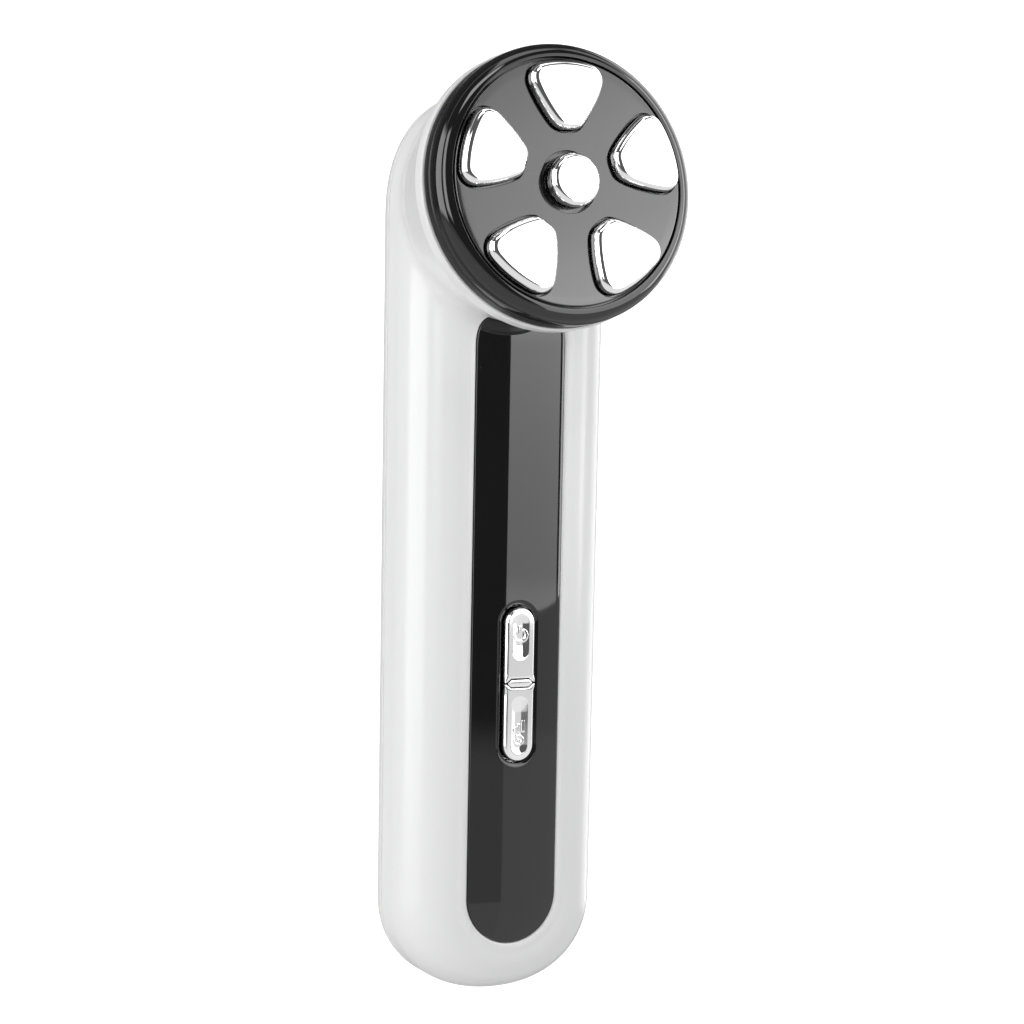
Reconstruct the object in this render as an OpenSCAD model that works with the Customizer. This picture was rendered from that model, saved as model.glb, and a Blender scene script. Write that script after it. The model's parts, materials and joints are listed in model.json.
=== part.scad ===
// Hand-held facial toning device lying on its back.
// +Z is the front, +Y runs along the handle to the head, +X is to the right as the front is seen.
// Every module is drawn with Y counted from the lower tip of the handle; place() moves
// the origin to the centre of the length, at the flat strip the device lies on.

/* [Handle] */
// Length of the white handle from its lower tip to the top of its dome
handle_len = 180; // [176:1:184]
// Half width of the handle at the shoulder under the head
half_w_top = 21.9; // [21.4:0.1:22.4]
// Half width of the handle at its lower end
half_w_low = 21.4; // [21:0.1:21.9]
// Height of the front plane above the rest plane
front_z = 24.3; // [24:0.1:24.6]
// Height of the seam between the front and rear shells
split_z = 8.7; // [8.2:0.1:9]
// Rounding of the front edges
front_r = 10.6; // [10:0.1:10.8]
// Rounding of the rear edges
rear_r = 9; // [8.5:0.1:9.4]
// Wall thickness of both shells
wall = 2; // [1.8:0.1:2.2]

/* [Front inlay] */
// Half width of the black inlay
inlay_half_w = 9.6; // [9.2:0.1:9.8]
// Distance from the lower tip of the handle to the inlay's lower end
inlay_low = 11; // [10.8:0.1:11.4]
// How far the inlay's middle stands above its edges
inlay_crown = 1.3; // [0.9:0.1:1.4]

/* [Keys] */
// Half width of the two keys
key_half_w = 3.05; // [2.9:0.05:3.2]
// Length of the two keys together
key_len = 30.4; // [29.6:0.1:30.8]
// Distance from the lower tip of the handle to the middle of the keys
key_mid = 63.2; // [62:0.1:65]
// Height of the key tops above the inlay's edges
key_proud = 2.25; // [2:0.05:2.5]
// Travel of each key
key_travel = 0.5; // [0.3:0.05:0.5]

/* [Head] */
// Distance from the lower tip of the handle to the middle of the face
head_y = 161.4; // [160.5:0.1:162]
// Height of the middle of the face
head_z = 43.6; // [43:0.1:44.5]
// Tilt of the face towards the top of the device
head_tilt = 9.3; // [8.5:0.1:10]
// Radius of the black ring round the face
ring_r = 27; // [26.8:0.05:27.1]
// Radius of the white collar under the ring
collar_r = 27.4; // [27.3:0.05:27.6]
// Radius of the flat face plate
face_r = 23.7; // [23.5:0.05:23.8]

/* [Electrodes] */
// Number of triangular electrodes round the centre
pad_count = 5; // [5:1:5]
// Height of the triangular electrodes above the face
pad_h = 2.3; // [1.8:0.1:2.5]
// Height of the round centre electrode above the face
centre_h = 3.6; // [3:0.1:3.8]
// Radius of the round centre electrode
centre_r = 5.25; // [5:0.05:5.4]

/* [Hidden] */
$fn = 64;

low_h = 18.5;                          // length of the rounded lower end
top_h = 25;                            // length of the rounded upper end
low_p = 2.15;                          // squareness of the lower end
top_p = 2.3;                           // squareness of the upper end
floor_z = 23.2;                        // floor of the inlay's pocket
cave_z = 21.6;                         // underside of that floor
edge_z = front_z + 0.18;               // height of the inlay's edges
crown_R = (pow(inlay_half_w, 2) + pow(inlay_crown, 2)) / (2 * inlay_crown);
inlay_y0 = inlay_low + inlay_half_w;   // centre of the inlay's lower end
inlay_y1 = inlay_y0 + 109.6;           // centre of the inlay's upper end
key_top = edge_z + key_proud;
key_split = key_mid + 0.3;             // line where the two keys meet
lower_key_y = key_mid - 7.9;           // push points of the two keys
upper_key_y = key_mid + 7.9;
board_z = 15;                          // underside of the main board
board_t = 1.2;
curve = 2.9;                           // rounding of the ring round the face
tip_y = head_y + (ring_r - curve) * cos(head_tilt) - (0.1 + curve) * sin(head_tilt) + curve;
shell_screw_at = [[-7, 15], [7, 15], [-12, 128], [12, 128]];
board_screw_at = [[-10.5, 24], [10.5, 24], [-10.5, 80.5], [10.5, 80.5]];
stake_at = [[-7.7, 54], [7.7, 54], [-7.7, 73], [7.7, 73]];
pad_angle = [90, 162, 18, 234, 306];   // top, left, right, lower left, lower right
stud_r_at = 17;                        // radius of the ring of electrode studs
motor_y = 137;
motor_z = 12;

// Moves a piece from handle coordinates to the part's own frame.
module place() { translate([0, -tip_y / 2, 0]) children(); }
// Frame of the head: Z leaves the face, Y points to the top of the device.
module at_head() { translate([0, head_y, head_z]) rotate([-head_tilt, 0, 0]) children(); }

function spow(v, p) = sign(v) * pow(abs(v), p);
// One closed outline of the handle, set in by d and off by w, at height z.
function outline(d, w, z) = concat(
    [for (i = [0:32]) let (t = i * 180 / 32)
        [(half_w_top - w - d) * spow(cos(t), 2 / top_p),
         handle_len - top_h + (top_h - w - d) * spow(sin(t), 2 / top_p), z]],
    [for (i = [0:32]) let (t = 180 + i * 180 / 32)
        [(half_w_low - w - d) * spow(cos(t), 2 / low_p),
         low_h + (low_h - w - 0.8 * d) * spow(sin(t), 2 / low_p), z]]);

// Closed solid through rings of equal length, each counter-clockwise from above.
module loft(rings) {
    n = len(rings[0]);
    m = len(rings);
    polyhedron(
        points = [for (r = rings) each r],
        faces = concat(
            [[for (i = [0:n - 1]) i]],
            [[for (i = [n - 1:-1:0]) (m - 1) * n + i]],
            [for (k = [0:m - 2], i = [0:n - 1]) let (j = (i + 1) % n)
                [k * n + i, (k + 1) * n + i, (k + 1) * n + j]],
            [for (k = [0:m - 2], i = [0:n - 1]) let (j = (i + 1) % n)
                [k * n + i, (k + 1) * n + j, k * n + j]]));
}

// The handle's slab, from z0 to z1, off the outer surface by w, with edge radii rb and rf.
module slab(w, z0, z1, rb, rf, n) {
    loft(concat(
        [for (i = [0:n]) let (a = 90 * i / n)
            outline(rb * (1 - sin(a)), w, z0 + rb * (1 - cos(a)))],
        [for (i = [0:n]) let (a = 90 * i / n)
            outline(rf * (1 - cos(a)), w, z1 - rf * (1 - sin(a)))]));
}
module outer_slab() { slab(0, 0, front_z, rear_r, front_r, 7); }
module inner_slab() { slab(wall, wall, cave_z, rear_r - wall, front_r - wall, 4); }

// Stadium along Y between ends y0 and y1, half width r.
module stadium2(y0, y1, r) {
    translate([0, y0 + r]) circle(r);
    translate([0, y1 - r]) circle(r);
    translate([-r, y0 + r]) square([2 * r, y1 - y0 - 2 * r]);
}
module stadium(y0, y1, r, z0, z1) {
    translate([0, 0, z0]) linear_extrude(z1 - z0) stadium2(y0, y1, r);
}
module key_stadium(grow, z0, z1) {
    stadium(key_mid - key_len / 2 - grow, key_mid + key_len / 2 + grow, key_half_w + grow, z0, z1);
}

// Solid of the neck below the collar, grown by g; it narrows towards the handle.
module neck(g) {
    at_head() {
        translate([0, 0, -27]) cylinder(h = 16.4, r1 = 22.7 + g, r2 = 26.45 + g);
        translate([0, 0, -33]) cylinder(h = 6, r1 = 19.6 + g, r2 = 22.7 + g);
    }
}
module above_seam() { translate([-50, -20, split_z]) cube([100, 240, 60]); }
module below_seam(gap) { translate([-50, -20, -20]) cube([100, 240, 20 + split_z - gap]); }

module front_shell() color("white") place() {
    difference() {
        union() {
            difference() {
                union() {
                    intersection() {
                        outer_slab();
                        above_seam();
                    }
                    // raised rim round the inlay
                    stadium(inlay_low - 1.3, inlay_y1 + 8, inlay_half_w + 1.2, front_z - 1, front_z + 0.3);
                }
                // pocket for the inlay
                stadium(inlay_low - 0.12, inlay_y1 + inlay_half_w + 0.12, inlay_half_w + 0.12, floor_z, front_z + 3);
            }
            intersection() {
                neck(0);
                above_seam();
            }
            at_head() translate([0, 0, -10.8]) cylinder(h = 3.7, r = collar_r);
        }
        inner_slab();
        neck_cave();
        at_head() translate([0, 0, -12.6]) cylinder(h = 8, r = 25);
        key_stadium(0.6, cave_z - 1, front_z + 3);
        // charging socket opening in the lower tip
        translate([0, 6, 13.3]) rotate([90, 0, 0]) linear_extrude(12) {
            translate([-2.8, 0]) circle(1.9);
            translate([2.8, 0]) circle(1.9);
            translate([-2.8, -1.9]) square([5.6, 3.8]);
        }
    }
    // posts for the shell screws
    for (p = shell_screw_at) translate([p[0], p[1], 5.1]) difference() {
        cylinder(h = cave_z + 0.5 - 5.1, r = 2.5);
        translate([0, 0, -1]) cylinder(h = 8, r = 1.02);
    }
    // posts for the main board
    for (p = board_screw_at) translate([p[0], p[1], board_z + board_t + 0.05]) difference() {
        cylinder(h = cave_z + 0.4 - board_z - board_t, r = 2.2);
        translate([0, 0, -1]) cylinder(h = 5, r = 0.82);
    }
    // pins that hold the key guide
    for (p = stake_at) translate([p[0], p[1], 19.7]) cylinder(h = cave_z + 0.3 - 19.7, r = 0.8);
}

// Hollow of the neck, open to the hollow of the handle.
module neck_cave() {
    at_head() translate([0, 0, -33]) cylinder(h = 22.2, r1 = 19, r2 = 24);
}

module rear_shell() color("white") place() {
    difference() {
        union() {
            difference() {
                intersection() {
                    outer_slab();
                    below_seam(0.12);
                }
                inner_slab();
            }
            // lip that locates the shells on each other
            difference() {
                union() {
                    lip(wall - 0.3, split_z - 2.2, split_z - 0.4);
                    lip(wall + 0.08, split_z - 1, split_z + 1.3);
                }
                lip(wall + 0.95, split_z - 4, split_z + 3);
            }
            for (p = shell_screw_at) translate([p[0], p[1], 0.8]) cylinder(h = 4.2, r = 3.3);
            // ribs at the ends of the cell
            for (y = [23.6, 81.4]) translate([-13, y - 0.6, wall - 0.4]) cube([26, 1.2, 3.4]);
        }
        for (p = shell_screw_at) translate([p[0], p[1], -1]) {
            cylinder(h = 3.4, r = 2.3);
            cylinder(h = 8, r = 1.15);
        }
    }
}
module lip(w, z0, z1) {
    translate([0, 0, z0]) linear_extrude(z1 - z0)
        polygon([for (p = outline(0.02, w, 0)) [p[0], p[1]]]);
}

// Pillow solid of the inlay: a stadium whose top is a shallow arc.
module inlay_profile() {
    intersection() {
        translate([0, -crown_R]) circle(r = crown_R, $fn = 128);
        translate([-inlay_half_w, -2.55]) square([2 * inlay_half_w, 5]);
    }
}
module panel_inlay() color([0.03, 0.03, 0.035]) place() difference() {
    union() {
        translate([0, inlay_y1, edge_z + inlay_crown]) rotate([90, 0, 0])
            linear_extrude(inlay_y1 - inlay_y0) inlay_profile();
        for (y = [inlay_y0, inlay_y1]) translate([0, y, edge_z + inlay_crown])
            rotate_extrude($fn = 96) intersection() {
                inlay_profile();
                translate([0, -5]) square([20, 10]);
            }
    }
    neck(0.2);
    key_stadium(0.6, floor_z - 2, front_z + 5);
    // shallow recess round the keys
    stadium(key_mid - 16.3, key_mid + 16.3, 4.8, edge_z + 0.4, front_z + 5);
}

// Plan of the bar between the keys, grown by g.
module bridge2(g) {
    translate([0, key_split]) polygon([[-2.5 - 2 * g, 0], [-1.9 - g, -0.7 - g], [1.9 + g, -0.7 - g],
        [2.5 + 2 * g, 0], [1.9 + g, 0.7 + g], [-1.9 - g, 0.7 + g]]);
}
module key_half(side) {
    translate([-10, side > 0 ? key_split + 0.15 : key_split - 40.15]) square([20, 40]);
}
// One key: cap, flange that holds it in, and the stem over its switch.
module key(side, y) {
    translate([0, 0, 20.6]) linear_extrude(key_top - 20.6 - 0.5) difference() {
        intersection() {
            stadium2(key_mid - key_len / 2, key_mid + key_len / 2, key_half_w);
            key_half(side);
        }
        bridge2(0.25);
    }
    // top of the cap, set in a little all round
    translate([0, 0, key_top - 0.6]) linear_extrude(0.6) difference() {
        intersection() {
            stadium2(key_mid - key_len / 2 + 0.35, key_mid + key_len / 2 - 0.35, key_half_w - 0.35);
            key_half(side);
        }
        bridge2(0.25);
    }
    translate([0, 0, 20.6]) linear_extrude(0.8) difference() {
        intersection() {
            stadium2(key_mid - key_len / 2 - 1.2, key_mid + key_len / 2 + 1.2, key_half_w + 1.2);
            key_half(side);
        }
        translate([-10, key_split - 1.1]) square([20, 2.2]);
    }
    translate([0, y, 20.35]) cylinder(h = 0.6, r = 1.9);
}
module key_upper() color("silver") place() key(1, upper_key_y);
module key_lower() color("silver") place() key(-1, lower_key_y);

module key_bridge() color("silver") place()
    translate([0, 0, 19.85]) linear_extrude(key_top + 0.05 - 19.85) bridge2(0);

module key_guide() color([0.15, 0.15, 0.16]) place() difference() {
    union() {
        difference() {
            key_stadium(3.1, 19.6, cave_z - 0.05);
            key_stadium(1.5, 19, cave_z + 1);
        }
        translate([-6, key_split - 1.2, 18.2]) cube([12, 2.4, 1.6]);
        for (p = stake_at) translate([p[0], p[1], 20.1]) cylinder(h = cave_z - 0.05 - 20.1, r = 2);
    }
    for (p = stake_at) translate([p[0], p[1], 19]) cylinder(h = 4, r = 0.85);
    key_stadium(1.5, 19.9, cave_z + 1);
}

// Push switch body on the board, with the well its plunger slides in.
module switch_body(y) {
    translate([0, y, board_z + board_t + 0.02]) difference() {
        translate([-3.1, -3.1, 0]) cube([6.2, 6.2, 3.3]);
        translate([0, 0, 1]) cylinder(h = 4, r = 1.65);
    }
    for (s = [-1, 1], t = [-1, 1])
        translate([s * 3.5, y + t * 2.2, board_z + board_t + 0.02])
            translate([-0.5, -0.4, 0]) cube([1, 0.8, 0.4]);
}
module plunger(y) { translate([0, y, 17.9]) cylinder(h = 2.4, r = 1.6); }
module switch_upper() color("dimgray") place() switch_body(upper_key_y);
module switch_lower() color("dimgray") place() switch_body(lower_key_y);
module plunger_upper() color("ivory") place() plunger(upper_key_y);
module plunger_lower() color("ivory") place() plunger(lower_key_y);

module bezel_ring() color([0.03, 0.03, 0.035]) place() at_head() rotate_extrude($fn = 128) difference() {
    union() {
        translate([ring_r - curve, -0.1 - curve]) circle(curve);
        translate([22.2, -4.2]) square([ring_r - 22.2, 4.1 - curve]);
        translate([22.2, -4.2]) square([ring_r - curve - 22.2, 4.1]);
    }
    // seat of the face plate
    translate([20, -1.85]) square([face_r + 0.35 - 20, 3]);
    translate([19, -8]) square([3.2, 9]);
    translate([20, -10]) square([10, 5.8]);
}

module head_base() color([0.03, 0.03, 0.035]) place() at_head() difference() {
    rotate_extrude($fn = 128) {
        translate([23.2, -12.3]) square([1.7, 8.05]);
        translate([23.2, -7]) square([ring_r - 23.2, 2.5]);
        translate([19, -11.6]) square([5, 1.7]);
    }
    for (a = [30, 150, 270]) rotate([0, 0, a]) translate([21, 0, -14]) cylinder(h = 6, r = 0.82);
}

module stud_places() {
    children();
    for (a = pad_angle) rotate([0, 0, a]) translate([stud_r_at, 0, 0]) children();
}
module face_plate() color([0.08, 0.08, 0.085]) place() at_head() difference() {
    rotate_extrude($fn = 128) {
        translate([0, -1.8]) square([face_r, 1.5]);
        translate([0, -1]) square([face_r - 0.3, 1]);
    }
    stud_places() translate([0, 0, -4]) cylinder(h = 8, r = 1.35);
}

// Triangular electrode: outer edge on a circle round the face, blunt inner tip.
module pad(i) at_head() rotate([0, 0, pad_angle[i] - 90]) {
    hull() {
        for (c = [[-4.55, 19.45, 3], [4.55, 19.45, 3], [0, 19.9, 3.05], [-2.8, 16, 2.92], [2.8, 16, 2.92],
                  [-1, 12.6, 2.55], [1, 12.6, 2.55]])
            translate([c[0], c[1], 0]) {
                cylinder(h = pad_h - 1.2, r = c[2], $fn = 32);
                cylinder(h = pad_h - 0.45, r = c[2] - 0.42, $fn = 32);
                cylinder(h = pad_h, r = c[2] - 1.3, $fn = 32);
            }
    }
    translate([0, stud_r_at, -5.2]) cylinder(h = 5.4, r = 1.25);
}
module pad_top() color("silver") place() pad(0);
module pad_left() color("silver") place() pad(1);
module pad_right() color("silver") place() pad(2);
module pad_lower_left() color("silver") place() pad(3);
module pad_lower_right() color("silver") place() pad(4);
module pad_centre() color("silver") place() at_head() {
    rotate_extrude($fn = 96) {
        square([centre_r, centre_h - 1]);
        square([centre_r - 1, centre_h]);
        translate([centre_r - 1, centre_h - 1]) intersection() {
            circle(1);
            square(1);
        }
    }
    translate([0, 0, -5.2]) cylinder(h = 5.4, r = 1.25);
}
module electrode_nuts() color("goldenrod") place() at_head() stud_places()
    translate([0, 0, -3.5]) difference() {
        cylinder(h = 1.6, r = 2.5, $fn = 6);
        translate([0, 0, -1]) cylinder(h = 4, r = 1.28);
    }
module contact_pins() color("gold") place() at_head() stud_places() {
    translate([0, 0, -8.58]) cylinder(h = 2.2, r = 0.9);
    translate([0, 0, -6.5]) cylinder(h = 1.28, r = 0.5);
}

module head_board() color("darkgreen") place() at_head() difference() {
    translate([0, 0, -9.85]) cylinder(h = 1.2, r = 22.9);
    for (a = [30, 150, 270]) rotate([0, 0, a]) translate([21, 0, -14]) cylinder(h = 8, r = 0.95);
}
module head_board_screws() color("gray") place() at_head()
    for (a = [30, 150, 270]) rotate([0, 0, a]) translate([21, 0, 0]) {
        translate([0, 0, -8.63]) cylinder(h = 1, r = 1.5);
        translate([0, 0, -11.3]) cylinder(h = 2.9, r = 0.8);
    }

module main_board() color("darkgreen") place() difference() {
    translate([0, 0, board_z]) linear_extrude(board_t)
        polygon([[-7.5, 4], [7.5, 4], [13.2, 12], [13.2, 86], [-13.2, 86], [-13.2, 12]]);
    for (p = shell_screw_at) translate([p[0], p[1], 10]) cylinder(h = 10, r = 2.9);
    for (p = board_screw_at) translate([p[0], p[1], 10]) cylinder(h = 10, r = 0.95);
}
module main_board_screws() color("gray") place()
    for (p = board_screw_at) translate([p[0], p[1], 0]) {
        translate([0, 0, board_z - 1.25]) cylinder(h = 1.2, r = 1.7);
        translate([0, 0, board_z - 0.2]) cylinder(h = 5, r = 0.8);
    }
module controller_chip() color([0.1, 0.1, 0.1]) place()
    translate([-3.5, 38.5, board_z + board_t + 0.02]) cube([7, 7, 1]);
module boost_coil() color("chocolate") place()
    translate([6.3, 31.5, board_z + board_t + 0.02]) difference() {
        union() {
            cylinder(h = 0.8, r = 3.8);
            cylinder(h = 4, r = 3.1);
            translate([0, 0, 3.2]) cylinder(h = 0.8, r = 3.8);
        }
        translate([0, 0, -1]) cylinder(h = 6, r = 0.9);
    }
module buzzer() color([0.12, 0.12, 0.12]) place()
    translate([-5, 32, board_z + board_t + 0.02]) difference() {
        cylinder(h = 4, r = 4.4);
        translate([0, 0, 3]) cylinder(h = 2, r = 0.9);
    }

module battery() color("lightsteelblue") place()
    translate([0, 80, 7]) rotate([90, 0, 0]) linear_extrude(54) {
        for (s = [-1, 1], t = [-1, 1]) translate([s * 13, t * 2]) circle(2);
        square([26, 8], center = true);
        square([30, 4], center = true);
    }
module battery_pad() color("khaki") place() translate([-11, 31, wall + 0.05]) cube([22, 44, 0.9]);

// Tube or strip swept along points in a plane of constant x.
function dirs(p) = [for (i = [0:len(p) - 1])
    let (a = p[max(i - 1, 0)], b = p[min(i + 1, len(p) - 1)], d = b - a) d / norm(d)];
module sweep(x, p, section) {
    d = dirs(p);
    n = len(section);
    m = len(p);
    polyhedron(
        points = [for (i = [0:m - 1], s = section)
            [x + s[0], p[i][0] - d[i][1] * s[1], p[i][1] + d[i][0] * s[1]]],
        faces = concat(
            [[for (i = [0:n - 1]) i]],
            [[for (i = [n - 1:-1:0]) (m - 1) * n + i]],
            [for (k = [0:m - 2], i = [0:n - 1]) let (j = (i + 1) % n)
                [k * n + i, (k + 1) * n + i, (k + 1) * n + j]],
            [for (k = [0:m - 2], i = [0:n - 1]) let (j = (i + 1) % n)
                [k * n + i, (k + 1) * n + j, k * n + j]]));
}
function round_section(r) = [for (a = [0:45:315]) [r * cos(a), -r * sin(a)]];
function flat_section(w, t) = [[-w, t], [w, t], [w, -t], [-w, -t]];

module head_ribbon() color("orange") place()
    sweep(0, [[81, 16.5], [88, 16.7], [97, 17.6], [107, 18.4], [118, 18.6], [129, 18.8], [138, 20.6],
        [144.6, 24.2], [149.3, 28.6], [151.6, 32], [152.1, 34.9]], flat_section(3.5, 0.18));
module battery_leads() color("firebrick") place()
    for (x = [-4, 4]) sweep(x, [[80.1, 8], [82.8, 8.4], [84.4, 10], [84.8, 12.4], [84.8, 14.9]], round_section(0.6));
module motor_leads() color("firebrick") place()
    for (x = [-2, 2]) sweep(x, [[136.9, 14.2], [133, 13.6], [127, 11], [118, 9.6], [106, 9.4], [96, 10],
        [90, 10.9], [86.4, 12], [84.5, 13.4], [84.1, 14.9]], round_section(0.5));

module charge_socket() color("silver") place() translate([0, 8.6, 13.25]) rotate([90, 0, 0]) {
    linear_extrude(7.5) difference() {
        socket2(1.63);
        socket2(1.33);
    }
    linear_extrude(0.5) socket2(1.5);
}
module socket2(r) {
    translate([-2.84, 0]) circle(r);
    translate([2.84, 0]) circle(r);
    translate([-2.84, -r]) square([5.68, 2 * r]);
}
module charge_tongue() color([0.1, 0.1, 0.1]) place() translate([-3.3, 2.4, 12.9]) cube([6.6, 5.65, 0.7]);

// Motor along Y: can with two bearing bores, armature, shaft and off-centre weight.
module along(y, z) { translate([0, y, z]) rotate([-90, 0, 0]) children(); }
module motor_can() color("silver") place() along(motor_y, motor_z) difference() {
    cylinder(h = 16, r = 5);
    translate([0, 0, 1]) cylinder(h = 14, r = 4.4);
    translate([0, 0, -1]) cylinder(h = 20, r = 0.8);
}
module motor_shaft() color("gray") place() along(motor_y + 0.2, motor_z) cylinder(h = 21.2, r = 0.75);
module motor_armature() color("chocolate") place() along(motor_y + 3, motor_z) difference() {
    cylinder(h = 10, r = 3.7);
    translate([0, 0, -1]) cylinder(h = 12, r = 0.76);
}
module motor_weight() color("gray") place() along(motor_y + 17, motor_z) difference() {
    union() {
        cylinder(h = 4, r = 1.7);
        intersection() {
            cylinder(h = 4, r = 4.4);
            translate([-5, 0, 0]) cube([10, 5, 4]);
        }
    }
    translate([0, 0, -1]) cylinder(h = 6, r = 0.76);
}
module motor_saddle() color("dimgray") place() difference() {
    translate([-6.6, motor_y + 2, wall + 0.05]) cube([13.2, 12, 11.5]);
    along(motor_y - 2, motor_z) cylinder(h = 20, r = 5.05);
    translate([-4.6, motor_y, motor_z]) cube([9.2, 16, 6]);
}

module shell_screws() color("gray") place()
    for (p = shell_screw_at) translate([p[0], p[1], 0]) {
        difference() {
            translate([0, 0, 0.8]) cylinder(h = 1.55, r = 2);
            translate([-1.2, -0.25, 0]) cube([2.4, 0.5, 1.4]);
            translate([-0.25, -1.2, 0]) cube([0.5, 2.4, 1.4]);
        }
        translate([0, 0, 2.2]) cylinder(h = 9.4, r = 1);
    }

front_shell();
rear_shell();
panel_inlay();
key_upper();
key_lower();
key_bridge();
bezel_ring();
head_base();
face_plate();
pad_top();
pad_left();
pad_right();
pad_lower_left();
pad_lower_right();
pad_centre();
electrode_nuts();
contact_pins();
head_board();
head_board_screws();
head_ribbon();
main_board();
main_board_screws();
switch_upper();
switch_lower();
plunger_upper();
plunger_lower();
key_guide();
battery();
battery_pad();
battery_leads();
charge_socket();
charge_tongue();
controller_chip();
boost_coil();
buzzer();
motor_can();
motor_shaft();
motor_armature();
motor_weight();
motor_saddle();
motor_leads();
shell_screws();
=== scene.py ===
import json
import math
import bpy
import bmesh
import numpy as np
from mathutils import Matrix, Vector
from mathutils.geometry import delaunay_2d_cdt


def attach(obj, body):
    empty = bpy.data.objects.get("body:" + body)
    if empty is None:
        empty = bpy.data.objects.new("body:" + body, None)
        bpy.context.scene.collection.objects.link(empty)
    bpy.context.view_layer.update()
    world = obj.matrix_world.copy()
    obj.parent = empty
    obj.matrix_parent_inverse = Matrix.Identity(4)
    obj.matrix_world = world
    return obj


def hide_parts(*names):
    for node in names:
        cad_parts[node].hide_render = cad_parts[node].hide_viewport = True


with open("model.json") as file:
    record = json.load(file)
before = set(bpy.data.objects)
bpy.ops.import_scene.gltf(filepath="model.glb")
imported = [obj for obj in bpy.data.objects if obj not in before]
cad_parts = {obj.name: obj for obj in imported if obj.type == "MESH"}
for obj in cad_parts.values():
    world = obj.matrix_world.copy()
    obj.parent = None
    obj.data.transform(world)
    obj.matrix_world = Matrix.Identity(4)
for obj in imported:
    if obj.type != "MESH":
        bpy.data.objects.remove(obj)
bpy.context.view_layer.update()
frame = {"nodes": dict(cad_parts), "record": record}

SCN = bpy.context.scene
NODES = frame["nodes"]

# ---------------------------------------------------------------------------
# Dimensions in millimetres: x across, u along the handle from its lower tip, z up from the rest plane.
# ---------------------------------------------------------------------------
W_TOP, W_LOW, LEN = 21.9, 21.4, 180.0
LOW_H, TOP_H, LOW_P, TOP_P = 18.5, 25.0, 2.15, 2.3
FRONT, SEAM, R_F, R_B, WALL = 24.3, 8.7, 10.6, 9.0, 1.9
PANEL_W, PANEL_U0, CROWN = 9.6, 11.0, 1.3
EDGE = FRONT + 0.18
CROWN_R = (PANEL_W ** 2 + CROWN ** 2) / (2 * CROWN)
PU0 = PANEL_U0 + PANEL_W
PU1 = PU0 + 109.6
KEY_W, KEY_LEN, KEY_MID, KEY_PROUD = 3.05, 30.4, 63.2, 2.25
KEY_TOP = EDGE + KEY_PROUD
KEY_SPLIT = KEY_MID + 0.3
HEAD_U, HEAD_Z, TILT = 161.4, 43.6, math.radians(9.3)
RING_R, CURVE, COLLAR_R, FACE_R = 27.0, 2.9, 27.4, 23.7
PAD_H, CENTRE_H, CENTRE_R = 2.3, 3.6, 5.25
ST, CT = math.sin(TILT), math.cos(TILT)
HALF = (HEAD_U + (RING_R - CURVE) * CT - (0.1 + CURVE) * ST + CURVE) / 2


def row(p):
    """Handle millimetres to the row frame's metres."""
    p = np.asarray(p, float)
    return (p - np.array([0, HALF, 0])) * 0.001


def head(p):
    """Head-frame millimetres (z leaves the face) to handle millimetres."""
    p = np.asarray(p, float)
    return np.stack([p[..., 0], HEAD_U + CT * p[..., 1] + ST * p[..., 2],
                     HEAD_Z - ST * p[..., 1] + CT * p[..., 2]], -1)


# ---------------------------------------------------------------------------
# Mesh helpers
# ---------------------------------------------------------------------------
def new_object(name, verts, faces, mat=None, sharp=35.0, normals=None, metres=False):
    v = np.asarray(verts, float) if metres else row(verts)
    me = bpy.data.meshes.new(name)
    me.from_pydata(v.tolist(), [], [list(map(int, f)) for f in faces])
    me.validate()
    me.polygons.foreach_set("use_smooth", [True] * len(me.polygons))
    if sharp is not None:
        me.set_sharp_from_angle(angle=math.radians(sharp))
    if normals is not None and len(me.vertices) == len(normals):
        me.normals_split_custom_set_from_vertices(np.asarray(normals, float).tolist())
    me.update()
    ob = bpy.data.objects.new(name, me)
    SCN.collection.objects.link(ob)
    if mat is not None:
        me.materials.append(mat)
    return ob


def join(*parts):
    """(verts, faces) pairs put together."""
    vs, fs, base = [], [], 0
    for v, f in parts:
        vs.append(np.asarray(v, float))
        fs += [[int(i) + base for i in q] for q in f]
        base += len(v)
    return np.concatenate(vs), fs


def loops_to_mesh(rings, close_first=True, close_last=True):
    """Closed rings of equal length, counter-clockwise seen from the side they advance to."""
    n = len(rings[0])
    v = np.concatenate(rings)
    f = []
    for k in range(len(rings) - 1):
        for i in range(n):
            j = (i + 1) % n
            f.append([k * n + i, k * n + j, (k + 1) * n + j, (k + 1) * n + i])
    if close_first:
        f.append(list(range(n))[::-1])
    if close_last:
        f.append([(len(rings) - 1) * n + i for i in range(n)])
    return v, f


def ring_mesh(rings):
    """Rings whose last joins the first again: a closed tube round an axis."""
    n, m = len(rings[0]), len(rings)
    v = np.concatenate(rings)
    f = []
    for k in range(m):
        l = (k + 1) % m
        for i in range(n):
            j = (i + 1) % n
            f.append([k * n + i, k * n + j, l * n + j, l * n + i])
    return v, f


def fine(profile, step):
    """A profile with long straight stretches divided."""
    out = []
    for a, b in zip(profile, profile[1:] + profile[:1]):
        n = max(1, int(math.hypot(b[0] - a[0], b[1] - a[1]) / step))
        out += [(a[0] + (b[0] - a[0]) * i / n, a[1] + (b[1] - a[1]) * i / n) for i in range(n)]
    return out


def arc(cx, cy, r, a0, a1, n):
    return [(cx + r * math.cos(math.radians(a0 + (a1 - a0) * i / n)),
             cy + r * math.sin(math.radians(a0 + (a1 - a0) * i / n))) for i in range(n + 1)]


def lathe(profile, seg=256):
    """Closed profile of (r, z), counter-clockwise, turned round the head's axis."""
    t = np.arange(seg) * 2 * np.pi / seg
    rings = [np.stack([r * np.cos(t), r * np.sin(t), np.full(seg, z)], -1) for r, z in profile]
    return ring_mesh(rings)


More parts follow.
